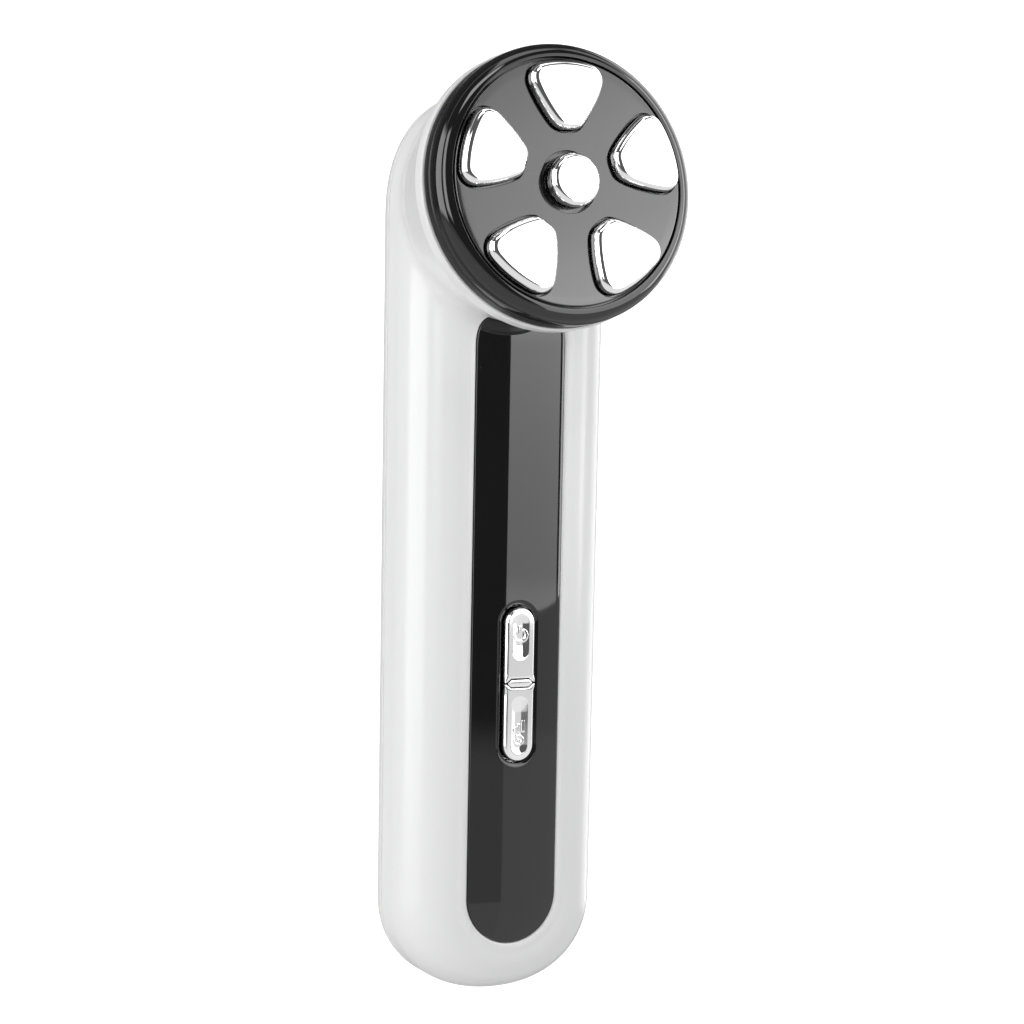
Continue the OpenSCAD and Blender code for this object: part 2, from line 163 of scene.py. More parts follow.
def solid_of(name, v, f):
    """A temporary object in millimetres, for booleans."""
    me = bpy.data.meshes.new(name)
    me.from_pydata(np.asarray(v, float).tolist(), [], [list(map(int, q)) for q in f])
    bm = bmesh.new()
    bm.from_mesh(me)
    bmesh.ops.recalc_face_normals(bm, faces=bm.faces)
    bm.to_mesh(me)
    bm.free()
    ob = bpy.data.objects.new(name, me)
    SCN.collection.objects.link(ob)
    return ob


def boolean(ob, cutters, op="DIFFERENCE"):
    """ob with the cutters taken off (or added), as (verts, faces); the temporary objects go."""
    for c in cutters:
        m = ob.modifiers.new("cut", "BOOLEAN")
        m.operation = op
        m.solver = "EXACT"
        m.object = c
    dg = bpy.context.evaluated_depsgraph_get()
    ev = ob.evaluated_get(dg)
    me = ev.to_mesh()
    v = np.empty(len(me.vertices) * 3)
    me.vertices.foreach_get("co", v)
    f = [list(p.vertices) for p in me.polygons]
    ev.to_mesh_clear()
    for o in [ob, *cutters]:
        d = o.data
        bpy.data.objects.remove(o)
        bpy.data.meshes.remove(d)
    return v.reshape(-1, 3), f


def prism(poly, z0, z1):
    """Outline (n, 2) counter-clockwise, from z0 to z1."""
    p = np.asarray(poly, float)
    lo = np.column_stack([p, np.full(len(p), z0)])
    hi = np.column_stack([p, np.full(len(p), z1)])
    return loops_to_mesh([lo, hi])


# ---------------------------------------------------------------------------
# Outlines
# ---------------------------------------------------------------------------
def spow(v, p):
    return np.sign(v) * np.abs(v) ** p


def outline(d, w=0.0, n=64, side=44):
    """The handle's outline set in by d and off by w, counter-clockwise, as (m, 2)."""
    # points along each rounded end, spread by arc length
    def end(a, h, p, c, t0):
        t = t0 + np.linspace(0, np.pi, 600)
        q = np.stack([a * spow(np.cos(t), 2 / p), c + h * spow(np.sin(t), 2 / p)], -1)
        s = np.concatenate([[0], np.cumsum(np.hypot(*np.diff(q, axis=0).T))])
        g = np.linspace(0, s[-1], n + 1)
        return np.stack([np.interp(g, s, q[:, 0]), np.interp(g, s, q[:, 1])], -1)
    top = end(W_TOP - w - d, TOP_H - w - d, TOP_P, LEN - TOP_H, 0.0)
    low = end(W_LOW - w - d, LOW_H - w - 0.8 * d, LOW_P, LOW_H, np.pi)
    f = (np.arange(1, side) / side)[:, None]
    return np.concatenate([top, top[-1] + (low[0] - top[-1]) * f, low, low[-1] + (top[0] - low[-1]) * f])


def stadium(u0, u1, r, n=40, side=60):
    """Stadium along u, counter-clockwise."""
    t = np.linspace(0, np.pi, n + 1)
    top = np.stack([r * np.cos(t), u1 - r + r * np.sin(t)], -1)
    low = np.stack([-r * np.cos(t), u0 + r - r * np.sin(t)], -1)
    f = (np.arange(1, side) / side)[:, None]
    return np.concatenate([top, top[-1] + (low[0] - top[-1]) * f, low, low[-1] + (top[0] - low[-1]) * f])


def normals_2d(p):
    """Outward vertex normals of a counter-clockwise outline."""
    a = np.roll(p, 1, 0)
    b = np.roll(p, -1, 0)
    e1 = p - a
    e2 = b - p
    e1 /= np.maximum(np.linalg.norm(e1, axis=1, keepdims=True), 1e-9)
    e2 /= np.maximum(np.linalg.norm(e2, axis=1, keepdims=True), 1e-9)
    n1 = np.stack([e1[:, 1], -e1[:, 0]], -1)
    n2 = np.stack([e2[:, 1], -e2[:, 0]], -1)
    m = n1 + n2
    m /= np.maximum(np.linalg.norm(m, axis=1, keepdims=True), 1e-9)
    c = np.maximum((m * n1).sum(1, keepdims=True), 0.5)
    return m, m / c


def inside(p, poly):
    """Which points of p lie in the polygon."""
    x, y = p[:, 0], p[:, 1]
    res = np.zeros(len(p), bool)
    q = np.roll(poly, -1, 0)
    for (x0, y0), (x1, y1) in zip(poly, q):
        if y0 == y1:
            continue
        c = ((y0 > y) != (y1 > y))
        res ^= c & (x < (x1 - x0) * (y - y0) / (y1 - y0) + x0)
    return res


def distance_to(p, poly):
    """Distance from points to a closed polyline."""
    best = np.full(len(p), 1e9)
    q = np.roll(poly, -1, 0)
    for a, b in zip(poly, q):
        d = b - a
        l2 = max(d @ d, 1e-12)
        t = np.clip(((p - a) @ d) / l2, 0, 1)
        best = np.minimum(best, np.hypot(*(p - a - t[:, None] * d).T))
    return best


def triangulate(outer, holes, points):
    """Triangles between the outlines through the points; returns (coordinates, faces)."""
    co = [tuple(map(float, p)) for p in outer]
    edges = [(i, (i + 1) % len(outer)) for i in range(len(outer))]
    for h in holes:
        b = len(co)
        co += [tuple(map(float, p)) for p in h]
        edges += [(b + i, b + (i + 1) % len(h)) for i in range(len(h))]
    n_loop = len(co)
    co += [tuple(map(float, p)) for p in points]
    vs, _, fs, _, _, _ = delaunay_2d_cdt([Vector(c) for c in co], edges, [], 0, 1e-7)
    v = np.array([(p.x, p.y) for p in vs])
    assert len(v) == len(co), (len(v), len(co))
    f = np.array([list(t) for t in fs])
    c = v[f].mean(1)
    keep = inside(c, np.asarray(outer))
    for h in holes:
        keep &= ~inside(c, np.asarray(h))
    f = f[keep]
    # counter-clockwise
    a, b, d = v[f[:, 0]], v[f[:, 1]], v[f[:, 2]]
    area = (b[:, 0] - a[:, 0]) * (d[:, 1] - a[:, 1]) - (b[:, 1] - a[:, 1]) * (d[:, 0] - a[:, 0])
    f[area < 0] = f[area < 0][:, ::-1]
    return v, f, n_loop


def plate(outer, hole, points, height, r_out, r_in, z_low, steps=5, drop=1.0):
    """A closed plate whose top follows height(p), with rounded edges that fall drop times as far as they come in."""
    loops = [np.asarray(outer, float)] + ([np.asarray(hole, float)] if hole is not None else [])
    radii = [r_out, r_in]
    signs = [-1.0, 1.0]
    tops, rings, ring_n = [], [], []
    for lp, r, sg in zip(loops, radii, signs):
        unit, miter = normals_2d(lp)
        r = np.broadcast_to(r, (len(lp),))
        inner = lp + sg * r[:, None] * miter
        tops.append(inner)
        zt = height(inner)
        rr, rn = [], []
        for k in range(steps):
            a = math.pi / 2 * k / steps
            q = lp + sg * (r * (1 - math.cos(a)))[:, None] * miter
            rr.append(np.column_stack([q, zt - drop * r * (1 - math.sin(a))]))
            nl = math.hypot(drop * math.cos(a), math.sin(a))
            rn.append(np.column_stack([-sg * unit * drop * math.cos(a) / nl, np.full(len(q), math.sin(a) / nl)]))
        rings.append(rr)
        ring_n.append(rn)
    pts = np.asarray(points, float).reshape(-1, 2)
    if len(pts):
        keep = inside(pts, tops[0]) & (distance_to(pts, tops[0]) > 0.12)
        for h in tops[1:]:
            keep &= ~inside(pts, h) & (distance_to(pts, h) > 0.08)
        pts = pts[keep]
    v2, tri, n_loop = triangulate(tops[0], tops[1:], pts)
    verts = [np.column_stack([v2, height(v2)])]
    e = 0.01
    gx = (height(v2 + [e, 0]) - height(v2 - [e, 0])) / (2 * e)
    gy = (height(v2 + [0, e]) - height(v2 - [0, e])) / (2 * e)
    nn = np.column_stack([-gx, -gy, np.ones(len(v2))])
    nn /= np.linalg.norm(nn, axis=1, keepdims=True)
    norms = [nn]
    faces = [list(t) for t in tri]
    base = len(v2)
    start = 0
    low_loops = []
    for li, lp in enumerate(loops):
        n = len(lp)
        prev = [start + i for i in range(n)]       # top loop in the triangulation
        start += n
        for k in range(steps - 1, -1, -1):
            verts.append(rings[li][k])
            norms.append(ring_n[li][k])
            cur = [base + i for i in range(n)]
            base += n
            for i in range(n):
                j = (i + 1) % n
                faces.append([prev[i], cur[i], cur[j], prev[j]] if li == 0 else [prev[j], cur[j], cur[i], prev[i]])
            prev = cur
        bottom = np.column_stack([lp, np.full(n, z_low)])
        verts.append(bottom)
        norms.append(ring_n[li][0])
        cur = [base + i for i in range(n)]
        base += n
        for i in range(n):
            j = (i + 1) % n
            faces.append([prev[i], cur[i], cur[j], prev[j]] if li == 0 else [prev[j], cur[j], cur[i], prev[i]])
        low_loops.append(cur)
    # underside
    vb, tb, _ = triangulate(loops[0], loops[1:], np.zeros((0, 2)))
    index = [i for lp in low_loops for i in lp]
    for t in tb:
        faces.append([index[i] for i in t][::-1])
    return np.concatenate(verts), faces, np.concatenate(norms)


# ---------------------------------------------------------------------------
# Materials
# ---------------------------------------------------------------------------
def make_material(name, base, rough, metallic=0.0, ior=1.5, spec=0.5, coat=0.0, coat_rough=0.05,
                  var=0.02, var_scale=60.0, rough_var=0.03, rough_scale=180.0, bump=0.02, bump_scale=700.0,
                  bump_dist=0.00003, wear=None, specks=0.0, brushed=None, alpha=None):
    m = bpy.data.materials.new(name)
    m.use_nodes = True
    nt = m.node_tree
    nt.nodes.clear()
    N = nt.nodes.new
    L = nt.links.new
    out = N("ShaderNodeOutputMaterial")
    p = N("ShaderNodeBsdfPrincipled")
    L(p.outputs[0], out.inputs[0])
    p.inputs["Metallic"].default_value = metallic
    p.inputs["IOR"].default_value = ior
    p.inputs["Specular IOR Level"].default_value = spec
    p.inputs["Coat Weight"].default_value = coat
    p.inputs["Coat Roughness"].default_value = coat_rough
    tc = N("ShaderNodeTexCoord")
    src = tc.outputs["Object"]
    if brushed:
        mp = N("ShaderNodeMapping")
        mp.inputs["Scale"].default_value = brushed
        L(src, mp.inputs["Vector"])
        fine_src = mp.outputs[0]
    else:
        fine_src = src
    # slow change of tone
    n1 = N("ShaderNodeTexNoise")
    n1.inputs["Scale"].default_value = var_scale
    n1.inputs["Detail"].default_value = 3.0
    L(src, n1.inputs["Vector"])
    ramp = N("ShaderNodeMapRange")
    ramp.inputs["From Min"].default_value = 0.3
    ramp.inputs["From Max"].default_value = 0.7
    ramp.inputs["To Min"].default_value = 1.0 - var
    ramp.inputs["To Max"].default_value = 1.0 + var
    L(n1.outputs["Fac"], ramp.inputs["Value"])
    mul = N("ShaderNodeVectorMath")
    mul.operation = "SCALE"
    mul.inputs[0].default_value = base
    L(ramp.outputs[0], mul.inputs["Scale"])
    color = mul.outputs[0]
    # fine change of gloss, from handling
    n2 = N("ShaderNodeTexNoise")
    n2.inputs["Scale"].default_value = rough_scale
    n2.inputs["Detail"].default_value = 5.0
    n2.inputs["Roughness"].default_value = 0.6
    L(fine_src, n2.inputs["Vector"])
    rr = N("ShaderNodeMapRange")
    rr.inputs["From Min"].default_value = 0.25
    rr.inputs["From Max"].default_value = 0.75
    rr.inputs["To Min"].default_value = max(0.005, rough - rough_var)
    rr.inputs["To Max"].default_value = rough + rough_var
    L(n2.outputs["Fac"], rr.inputs["Value"])
    roughness = rr.outputs[0]
    if wear:
        # rubbed edges: where the surface turns sharply
        geo = N("ShaderNodeNewGeometry")
        wr = N("ShaderNodeMapRange")
        wr.inputs["From Min"].default_value = 0.52
        wr.inputs["From Max"].default_value = 0.62
        wr.inputs["To Min"].default_value = 0.0
        wr.inputs["To Max"].default_value = wear[1]
        L(geo.outputs["Pointiness"], wr.inputs["Value"])
        mx = N("ShaderNodeMix")
        mx.data_type = "RGBA"
        L(wr.outputs[0], mx.inputs["Factor"])
        L(color, mx.inputs["A"])
        mx.inputs["B"].default_value = (*wear[0], 1)
        color = mx.outputs["Result"]
        ad = N("ShaderNodeMath")
        ad.operation = "MULTIPLY_ADD"
        L(wr.outputs[0], ad.inputs[0])
        ad.inputs[1].default_value = 0.15
        L(roughness, ad.inputs[2])
        roughness = ad.outputs[0]
    if specks:
        # a few grains of dust
        vo = N("ShaderNodeTexVoronoi")
        vo.inputs["Scale"].default_value = 170.0
        L(src, vo.inputs["Vector"])
        lt = N("ShaderNodeMath")
        lt.operation = "LESS_THAN"
        L(vo.outputs["Distance"], lt.inputs[0])
        lt.inputs[1].default_value = specks
        mx2 = N("ShaderNodeMix")
        mx2.data_type = "RGBA"
        L(lt.outputs[0], mx2.inputs["Factor"])
        L(color, mx2.inputs["A"])
        mx2.inputs["B"].default_value = (0.16, 0.16, 0.16, 1)
        color = mx2.outputs["Result"]
    L(color, p.inputs["Base Color"])
    L(roughness, p.inputs["Roughness"])
    # moulding or polishing texture
    n3 = N("ShaderNodeTexNoise")
    n3.inputs["Scale"].default_value = bump_scale
    n3.inputs["Detail"].default_value = 4.0
    L(fine_src, n3.inputs["Vector"])
    bp = N("ShaderNodeBump")
    bp.inputs["Strength"].default_value = bump
    bp.inputs["Distance"].default_value = bump_dist
    L(n3.outputs["Fac"], bp.inputs["Height"])
    L(bp.outputs[0], p.inputs["Normal"])
    return m


MATS = {
    "white_shell": make_material("white_moulding", (0.75, 0.751, 0.752), 0.232, var=0.008, var_scale=25, rough_var=0.028,
                                 rough_scale=90, bump=0.05, bump_scale=420, wear=((0.8, 0.8, 0.79), 0.06)),
    "black_gloss": make_material("piano_black", (0.0045, 0.0045, 0.0048), 0.035, spec=0.7, var=0.1, var_scale=40, rough_var=0.015,
                                 rough_scale=120, bump=0.01, bump_scale=300, specks=0.022),
    "black_ring": make_material("gloss_black_ring", (0.007, 0.007, 0.0074), 0.055, spec=0.65, var=0.1, var_scale=60, rough_var=0.02,
                                rough_scale=150, bump=0.02, bump_scale=350, wear=((0.05, 0.05, 0.05), 0.3)),
    "black_satin": make_material("satin_black", (0.012, 0.012, 0.0125), 0.34, var=0.1, rough_var=0.045, bump=0.15,
                                 bump_scale=1200),
    "face_black": make_material("face_black", (0.02, 0.0202, 0.0205), 0.09, spec=1.0, var=0.06, var_scale=80,
                                rough_var=0.02, rough_scale=200, bump=0.03, bump_scale=500, specks=0.012),
    "electrode": make_material("polished_electrode", (0.9, 0.9, 0.905), 0.045, metallic=1.0, var=0.015, var_scale=90,
                               rough_var=0.02, rough_scale=250, bump=0.02, bump_scale=260),
    "key_metal": make_material("plated_keys", (0.93, 0.93, 0.935), 0.075, metallic=1.0, var=0.02, var_scale=120,
                               rough_var=0.025, rough_scale=300, bump=0.03, bump_scale=400),
    "brass": make_material("plated_brass", (0.72, 0.5, 0.2), 0.22, metallic=1.0, var=0.06, rough_var=0.06),
    "circuit_board": make_material("solder_mask", (0.01, 0.12, 0.045), 0.35, var=0.15, var_scale=500, rough_var=0.08,
                                   bump=0.3, bump_scale=900),
    "screw_steel": make_material("zinc_screw", (0.55, 0.55, 0.57), 0.3, metallic=1.0, var=0.05, rough_var=0.08,
                                 bump=0.2, bump_scale=900, brushed=(1, 1, 8)),
    "ribbon": make_material("polyimide_film", (0.5, 0.19, 0.02), 0.3, var=0.08, var_scale=200, rough_var=0.06),
    "switch_case": make_material("switch_case", (0.02, 0.02, 0.02), 0.5, var=0.15, rough_var=0.08, bump=0.3),
    "plunger": make_material("plunger_white", (0.75, 0.72, 0.62), 0.45, var=0.05, rough_var=0.06, bump=0.2),
    "cell_foil": make_material("cell_foil", (0.62, 0.65, 0.7), 0.3, metallic=0.9, var=0.05, rough_var=0.1, bump=0.5,
                               bump_scale=250),
    "foam": make_material("foam", (0.04, 0.04, 0.04), 0.9, var=0.2, rough_var=0.05, bump=1.0, bump_scale=1500,
                          bump_dist=0.0001),
    "lead_red": make_material("red_insulation", (0.45, 0.02, 0.015), 0.4, var=0.08, rough_var=0.08, bump=0.1),
    "socket_steel": make_material("stamped_steel", (0.6, 0.6, 0.62), 0.25, metallic=1.0, var=0.05, rough_var=0.08,
                                  bump=0.2, bump_scale=1200, brushed=(8, 1, 1)),
    "chip": make_material("moulded_package", (0.012, 0.012, 0.012), 0.6, var=0.2, rough_var=0.08, bump=0.4,
                          bump_scale=1800),
    "copper": make_material("enamelled_copper", (0.45, 0.13, 0.04), 0.25, metallic=0.8, var=0.1, rough_var=0.08,
                            bump=0.6, bump_scale=900, brushed=(1, 1, 12)),
    "motor_steel": make_material("drawn_can", (0.6, 0.6, 0.62), 0.28, metallic=1.0, var=0.04, rough_var=0.07,
                                 bump=0.2, bump_scale=700, brushed=(1, 10, 1)),
    "weight_metal": make_material("sintered_weight", (0.28, 0.28, 0.29), 0.45, metallic=1.0, var=0.1, rough_var=0.08,
                                  bump=0.5, bump_scale=1500),
}

SLOT = {s["node"]: s["material_slot"] for s in frame["record"]["subparts"]}
for name, ob in NODES.items():
    if not ob.material_slots:
        ob.data.materials.append(None)
    for s in ob.material_slots:
        s.link = "OBJECT"
        s.material = MATS[SLOT[name]]


def piece(ob, body, node=None, mat_slot=None):
    """Puts a new piece on its body, in place of its CAD node."""
    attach(ob, body)
    if node:
        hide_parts(*([node] if isinstance(node, str) else node))
        first = node if isinstance(node, str) else node[0]
        mat_slot = mat_slot or SLOT[first]
    return ob


# ---------------------------------------------------------------------------
# Camera, floor and light
# ---------------------------------------------------------------------------
cam = bpy.data.cameras.new("camera")
cam_ob = bpy.data.objects.new("camera", cam)
SCN.collection.objects.link(cam_ob)
SCN.camera = cam_ob
cam.sensor_width = 36.0
cam.sensor_fit = "HORIZONTAL"
cam.lens = 2804.23 / 1024 * 36.0
cam.clip_start = 0.01
cam.clip_end = 60.0
c_right = Vector((0.89879, 0.01845, 0.43799))
c_up = Vector((0.02104, 0.99615, -0.08514))
c_fwd = Vector((0.43787, -0.08574, -0.89494))
m = Matrix((c_right, c_up, -c_fwd)).transposed().to_4x4()
m.translation = Vector((-242.804, 50.718, 517.910)) * 0.001
cam_ob.matrix_world = m


def dirn(az, el):
    """Direction towards azimuth az (from the front, to the right) and elevation el (to the head), in degrees."""
    a, e = math.radians(az), math.radians(el)
    return Vector((math.sin(a) * math.cos(e), math.sin(e), math.cos(a) * math.cos(e)))


FILL = 0.66        # share of the screens' light that reaches diffuse surfaces




def softbox(name, centre, normal, up, w, h, radiance, tint=(1, 1, 1), spread=180, along=None, across=None):
    """Area light of a given radiance; along gives (share of the height, level) steps from its foot to its top,
    across a level at its left and right edge for its upper part."""
    l = bpy.data.lights.new(name, "AREA")
    l.shape = "RECTANGLE"
    l.size, l.size_y = w, h
    l.energy = radiance * w * h * math.pi
    l.color = tint
    l.spread = math.radians(spread)
    if along:
        l.use_nodes = True
        lt = l.node_tree
        em = next(n for n in lt.nodes if n.type == "EMISSION")
        geo = lt.nodes.new("ShaderNodeNewGeometry")
        sp = lt.nodes.new("ShaderNodeSeparateXYZ")
        lt.links.new(geo.outputs["Parametric"], sp.inputs[0])
        last = None
        for (v0, l0), (v1, l1) in zip(along[:-1], along[1:]):
            seg = lt.nodes.new("ShaderNodeMapRange")
            seg.inputs["From Min"].default_value = v0
            seg.inputs["From Max"].default_value = v1
            seg.inputs["To Min"].default_value = l0 if last is None else 0.0
            seg.inputs["To Max"].default_value = l1 if last is None else l1 - l0
            lt.links.new(sp.outputs["Y"], seg.inputs["Value"])
            if last is None:
                last = seg.outputs[0]
            else:
                add = lt.nodes.new("ShaderNodeMath")
                add.operation = "ADD"
                lt.links.new(last, add.inputs[0])
                lt.links.new(seg.outputs[0], add.inputs[1])
                last = add.outputs[0]
        if across:
            side = lt.nodes.new("ShaderNodeMapRange")
            for k_, v_ in zip(("From Min", "From Max", "To Min", "To Max"), across):
                side.inputs[k_].default_value = v_
            lt.links.new(sp.outputs["X"], side.inputs["Value"])
            part = lt.nodes.new("ShaderNodeMapRange")
            part.inputs["From Min"].default_value = 0.36
            part.inputs["From Max"].default_value = 0.46
            lt.links.new(sp.outputs["Y"], part.inputs["Value"])
            mul = [lt.nodes.new("ShaderNodeMath") for _ in range(3)]
            for m_, op in zip(mul, ("MULTIPLY", "ADD", "MULTIPLY")):
                m_.operation = op
            lt.links.new(side.outputs[0], mul[0].inputs[0])
            lt.links.new(part.outputs[0], mul[0].inputs[1])
            lt.links.new(mul[0].outputs[0], mul[1].inputs[0])
            mul[1].inputs[1].default_value = 1.0
            lt.links.new(mul[1].outputs[0], mul[2].inputs[0])
            lt.links.new(last, mul[2].inputs[1])
            last = mul[2].outputs[0]
        lt.links.new(last, em.inputs["Strength"])
    o = bpy.data.objects.new(name, l)
    SCN.collection.objects.link(o)
    z = -Vector(normal).normalized()
    x = Vector(up).cross(z).normalized()
    y = z.cross(x)
    mm = Matrix((x, y, z)).transposed().to_4x4()
    mm.translation = Vector(centre)
    o.matrix_world = mm
    return o


# Key screen close on the right, brighter towards its far side
def card(name, x0, z0, x1, z1, y0, y1, radiance, along=None, across=None):
    """Upright screen from (x0, z0) to (x1, z1), y0 to y1, in millimetres, facing the object."""
    a, b = Vector((x0, 0, z0)), Vector((x1, 0, z1))
    w = (b - a).length
    n = Vector((-(a.z - b.z), 0, -(b.x - a.x))).normalized()
    c = Vector(((x0 + x1) / 2, (y0 + y1) / 2, (z0 + z1) / 2))
    if along:
        along = [((y - y0) / (y1 - y0), v / radiance) for y, v in along]
    o = softbox(name, c * 0.001, n, (0, 1, 0), w * 0.001, (y1 - y0) * 0.001, radiance, along=along, across=across)
    o.visible_camera = False
    o.visible_diffuse = False
    return o


card("key_screen", 84, 311, 268, 210, -52, 330, 2.5,
     [(-52, 1.84), (-33, 1.98), (-18, 2.08), (-3, 2.25), (12, 2.48), (27, 2.73), (112, 3.75), (133, 3.2), (145, 2.65),
      (173, 2.45), (200, 1.7), (330, 1.6)], (0.1, 0.4, -0.18, 0.17))
card("key_core", 270, 200, 305, 140, -50, 330, 5.2)
# Front fill that only lights the matt part of the surfaces
fill = softbox("front_fill", (0.0, 0.05, 0.62), (0.0, -0.03, -0.6), (0, 1, 0), 0.5, 0.5, 2.05)
fill.visible_camera = False
fill.visible_glossy = False

# World: a soft studio tent. az is the angle from the front to the right, el the angle towards the head.
world = bpy.data.worlds.new("studio")
SCN.world = world
world.use_nodes = True
wn = world.node_tree
wn.nodes.clear()
wo = wn.nodes.new("ShaderNodeOutputWorld")
bg = wn.nodes.new("ShaderNodeBackground")
wn.links.new(bg.outputs[0], wo.inputs[0])
wt = wn.nodes.new("ShaderNodeTexCoord")
sep = wn.nodes.new("ShaderNodeSeparateXYZ")
wn.links.new(wt.outputs["Generated"], sep.inputs[0])


def w_range(src, a, b, lo, hi):
    r = wn.nodes.new("ShaderNodeMapRange")
    r.interpolation_type = "SMOOTHSTEP"
    r.inputs["From Min"].default_value = math.radians(a)
    r.inputs["From Max"].default_value = math.radians(b)
    r.inputs["To Min"].default_value = lo
    r.inputs["To Max"].default_value = hi
    wn.links.new(src, r.inputs["Value"])
    return r.outputs[0]


def w_math(op, a, b=0.0):
    r = wn.nodes.new("ShaderNodeMath")
    r.operation = op
    for i, s in enumerate((a, b)):
        if isinstance(s, (int, float)):
            r.inputs[i].default_value = s
        else:
            wn.links.new(s, r.inputs[i])
    return r.outputs[0]


AZ = w_math("ARCTAN2", sep.outputs["X"], sep.outputs["Z"])
EL = w_math("ARCSINE", sep.outputs["Y"])


def w_box(a0, a1, e0, e1, wa0, wa1, we0, we1):
    """1 inside a window of azimuth and elevation, falling to 0 over the given widths."""
    p = w_math("MULTIPLY", w_range(AZ, a0 - wa0, a0, 0, 1), w_range(AZ, a1, a1 + wa1, 1, 0))
    q = w_math("MULTIPLY", w_range(EL, e0 - we0, e0, 0, 1), w_range(EL, e1, e1 + we1, 1, 0))
    return w_math("MULTIPLY", p, q)




def layer(level, window, value):
    return w_math("MAXIMUM", level, w_math("MULTIPLY", window, value))


front_half = w_math("MULTIPLY", w_range(AZ, -128, -112, 0.42, 1), w_range(AZ, 112, 128, 1, 0.42))
level = w_math("MAXIMUM", 0.1, w_math("MULTIPLY", w_math("MULTIPLY", w_range(EL, -10.1, -8.8, 1, 0), front_half), 0.54))
level = layer(level, w_math("MULTIPLY", w_range(EL, -17.0, -11.5, 1, 0), front_half), 0.8)
level = layer(level, w_box(-181, 181, -91, -52, 0, 0, 0, 8), 1.4)     # white table
level = layer(level, w_box(17.5, 120, -40, -6.8, 1.5, 10, 1, 0.8), 0.69)
level = layer(level, w_box(17.5, 120, -40, -9.6, 1.5, 10, 1, 0.8), 0.85)
up = w_range(sep.outputs["Z"], math.degrees(-0.02), math.degrees(0.01), 0, 1)
near = w_range(sep.outputs["Z"], math.degrees(0.07), math.degrees(0.13), 1, 0)
level = layer(level, w_math("MULTIPLY", up, near), 0.95)
level = layer(level, w_box(-108, -67, -8, 36, 5, 4, 6, 8), 4.0)       # large screen on the left
level = layer(level, w_box(-50, -35, 1, 38, 4, 4, 5, 4), 4.4)         # narrow screen left of the front
level = layer(level, w_box(-18, 13, 45, 55, 4, 4, 3, 3), 5.2)         # strip above the front
level = layer(level, w_box(-181, 0, 66, 91, 0, 15, 6, 1), 3.6)        # screen over the head end
level = layer(level, w_box(-181, -80, 52, 91, 0, 8, 8, 1), 3.6)
level = layer(level, w_box(0, 62, 64, 91, 8, 20, 6, 1), 2.2)
level = layer(level, w_box(-181, -150, 24, 60, 0, 8, 10, 1), 2.0)
level = layer(level, w_box(66, 90, -8, 58, 5, 5, 6, 8), 1.7)          # dim screens on the right
level = layer(level, w_box(96, 128, -14, 40, 6, 6, 6, 8), 2.4)
path = wn.nodes.new("ShaderNodeLightPath")
level = w_math("MULTIPLY", level, w_math("ADD", FILL, w_math("MULTIPLY", path.outputs["Is Glossy Ray"], 1.0 - FILL)))
wn.links.new(level, bg.inputs["Strength"])
bg.inputs["Color"].default_value = (1, 1, 1, 1)

# Floor: a wide pale sheet with a faint paper tooth
fl = bpy.data.meshes.new("floor")
g = np.linspace(-30, 30, 25)
fv = [(x, y, 0.0) for y in g for x in g]
ff = [(j * 25 + i, j * 25 + i + 1, (j + 1) * 25 + i + 1, (j + 1) * 25 + i) for j in range(24) for i in range(24)]
fl.from_pydata(fv, [], ff)
floor = bpy.data.objects.new("floor", fl)
SCN.collection.objects.link(floor)
fm = make_material("pale_floor", (0.93, 0.93, 0.93), 0.6, var=0.004, var_scale=3, rough_var=0.04, rough_scale=40,
                   bump=0.05, bump_scale=200)
fp = next(n for n in fm.node_tree.nodes if n.type == "BSDF_PRINCIPLED")
fp.inputs["Emission Color"].default_value = (1, 1, 1, 1)
fp.inputs["Emission Strength"].default_value = 0.4
fl.materials.append(fm)
floor.visible_glossy = False

SCN.view_settings.view_transform = "Standard"
SCN.view_settings.look = "None"
SCN.view_settings.exposure = 0.0
SCN.view_settings.gamma = 1.0


# ---------------------------------------------------------------------------
# Front shell: one smooth skin over the handle and the neck of the head
# ---------------------------------------------------------------------------
def inset(x, u):
    """How far inside the handle's outline a point lies (negative outside)."""
    x = np.abs(x)
    out = np.empty_like(x)
    mid = (u >= LOW_H) & (u <= LEN - TOP_H)
    out[mid] = (W_LOW + (W_TOP - W_LOW) * (u[mid] - LOW_H) / (LEN - TOP_H - LOW_H)) - x[mid]
    for sel, a, h, c, v0, p in ((u > LEN - TOP_H, W_TOP, TOP_H, 1.0, LEN - TOP_H, TOP_P),
                                (u < LOW_H, W_LOW, LOW_H, 0.8, LOW_H, LOW_P)):
        xs, vs = x[sel], np.abs(u[sel] - v0)
        lo = np.full(xs.shape, -12.0)
        hi = np.full(xs.shape, min(a, h / c) - 0.02)
        for _ in range(26):
            m_ = (lo + hi) / 2
            f = (xs / (a - m_)) ** p + (vs / (h - c * m_)) ** p > 1
            hi = np.where(f, m_, hi)
            lo = np.where(f, lo, m_)
        out[sel] = (lo + hi) / 2
    return out


def slab_field(p):
    d = inset(p[..., 0], p[..., 1])
    z = p[..., 2]
    upper = z > 11.5
    r = np.where(upper, R_F, R_B)
    q1 = r - d
    q2 = r - np.where(upper, FRONT - z, z)
    return np.hypot(np.maximum(q1, 0), np.maximum(q2, 0)) + np.minimum(np.maximum(q1, q2), 0) - r


def neck_radius(d):
    k = 1.2
    a = 26.45 - 0.2287 * (d - 10.8)
    b = 22.7 - 0.5167 * (d - 27.0)
    h = np.maximum(k - np.abs(a - b), 0) / k
    return np.minimum(a, b) - h * h * k / 4


def neck_field(p):
    du, dz = p[..., 1] - HEAD_U, p[..., 2] - HEAD_Z
    lz = ST * du + CT * dz
    ly = CT * du - ST * dz
    return (np.hypot(p[..., 0], ly) - neck_radius(-lz)) * 0.975


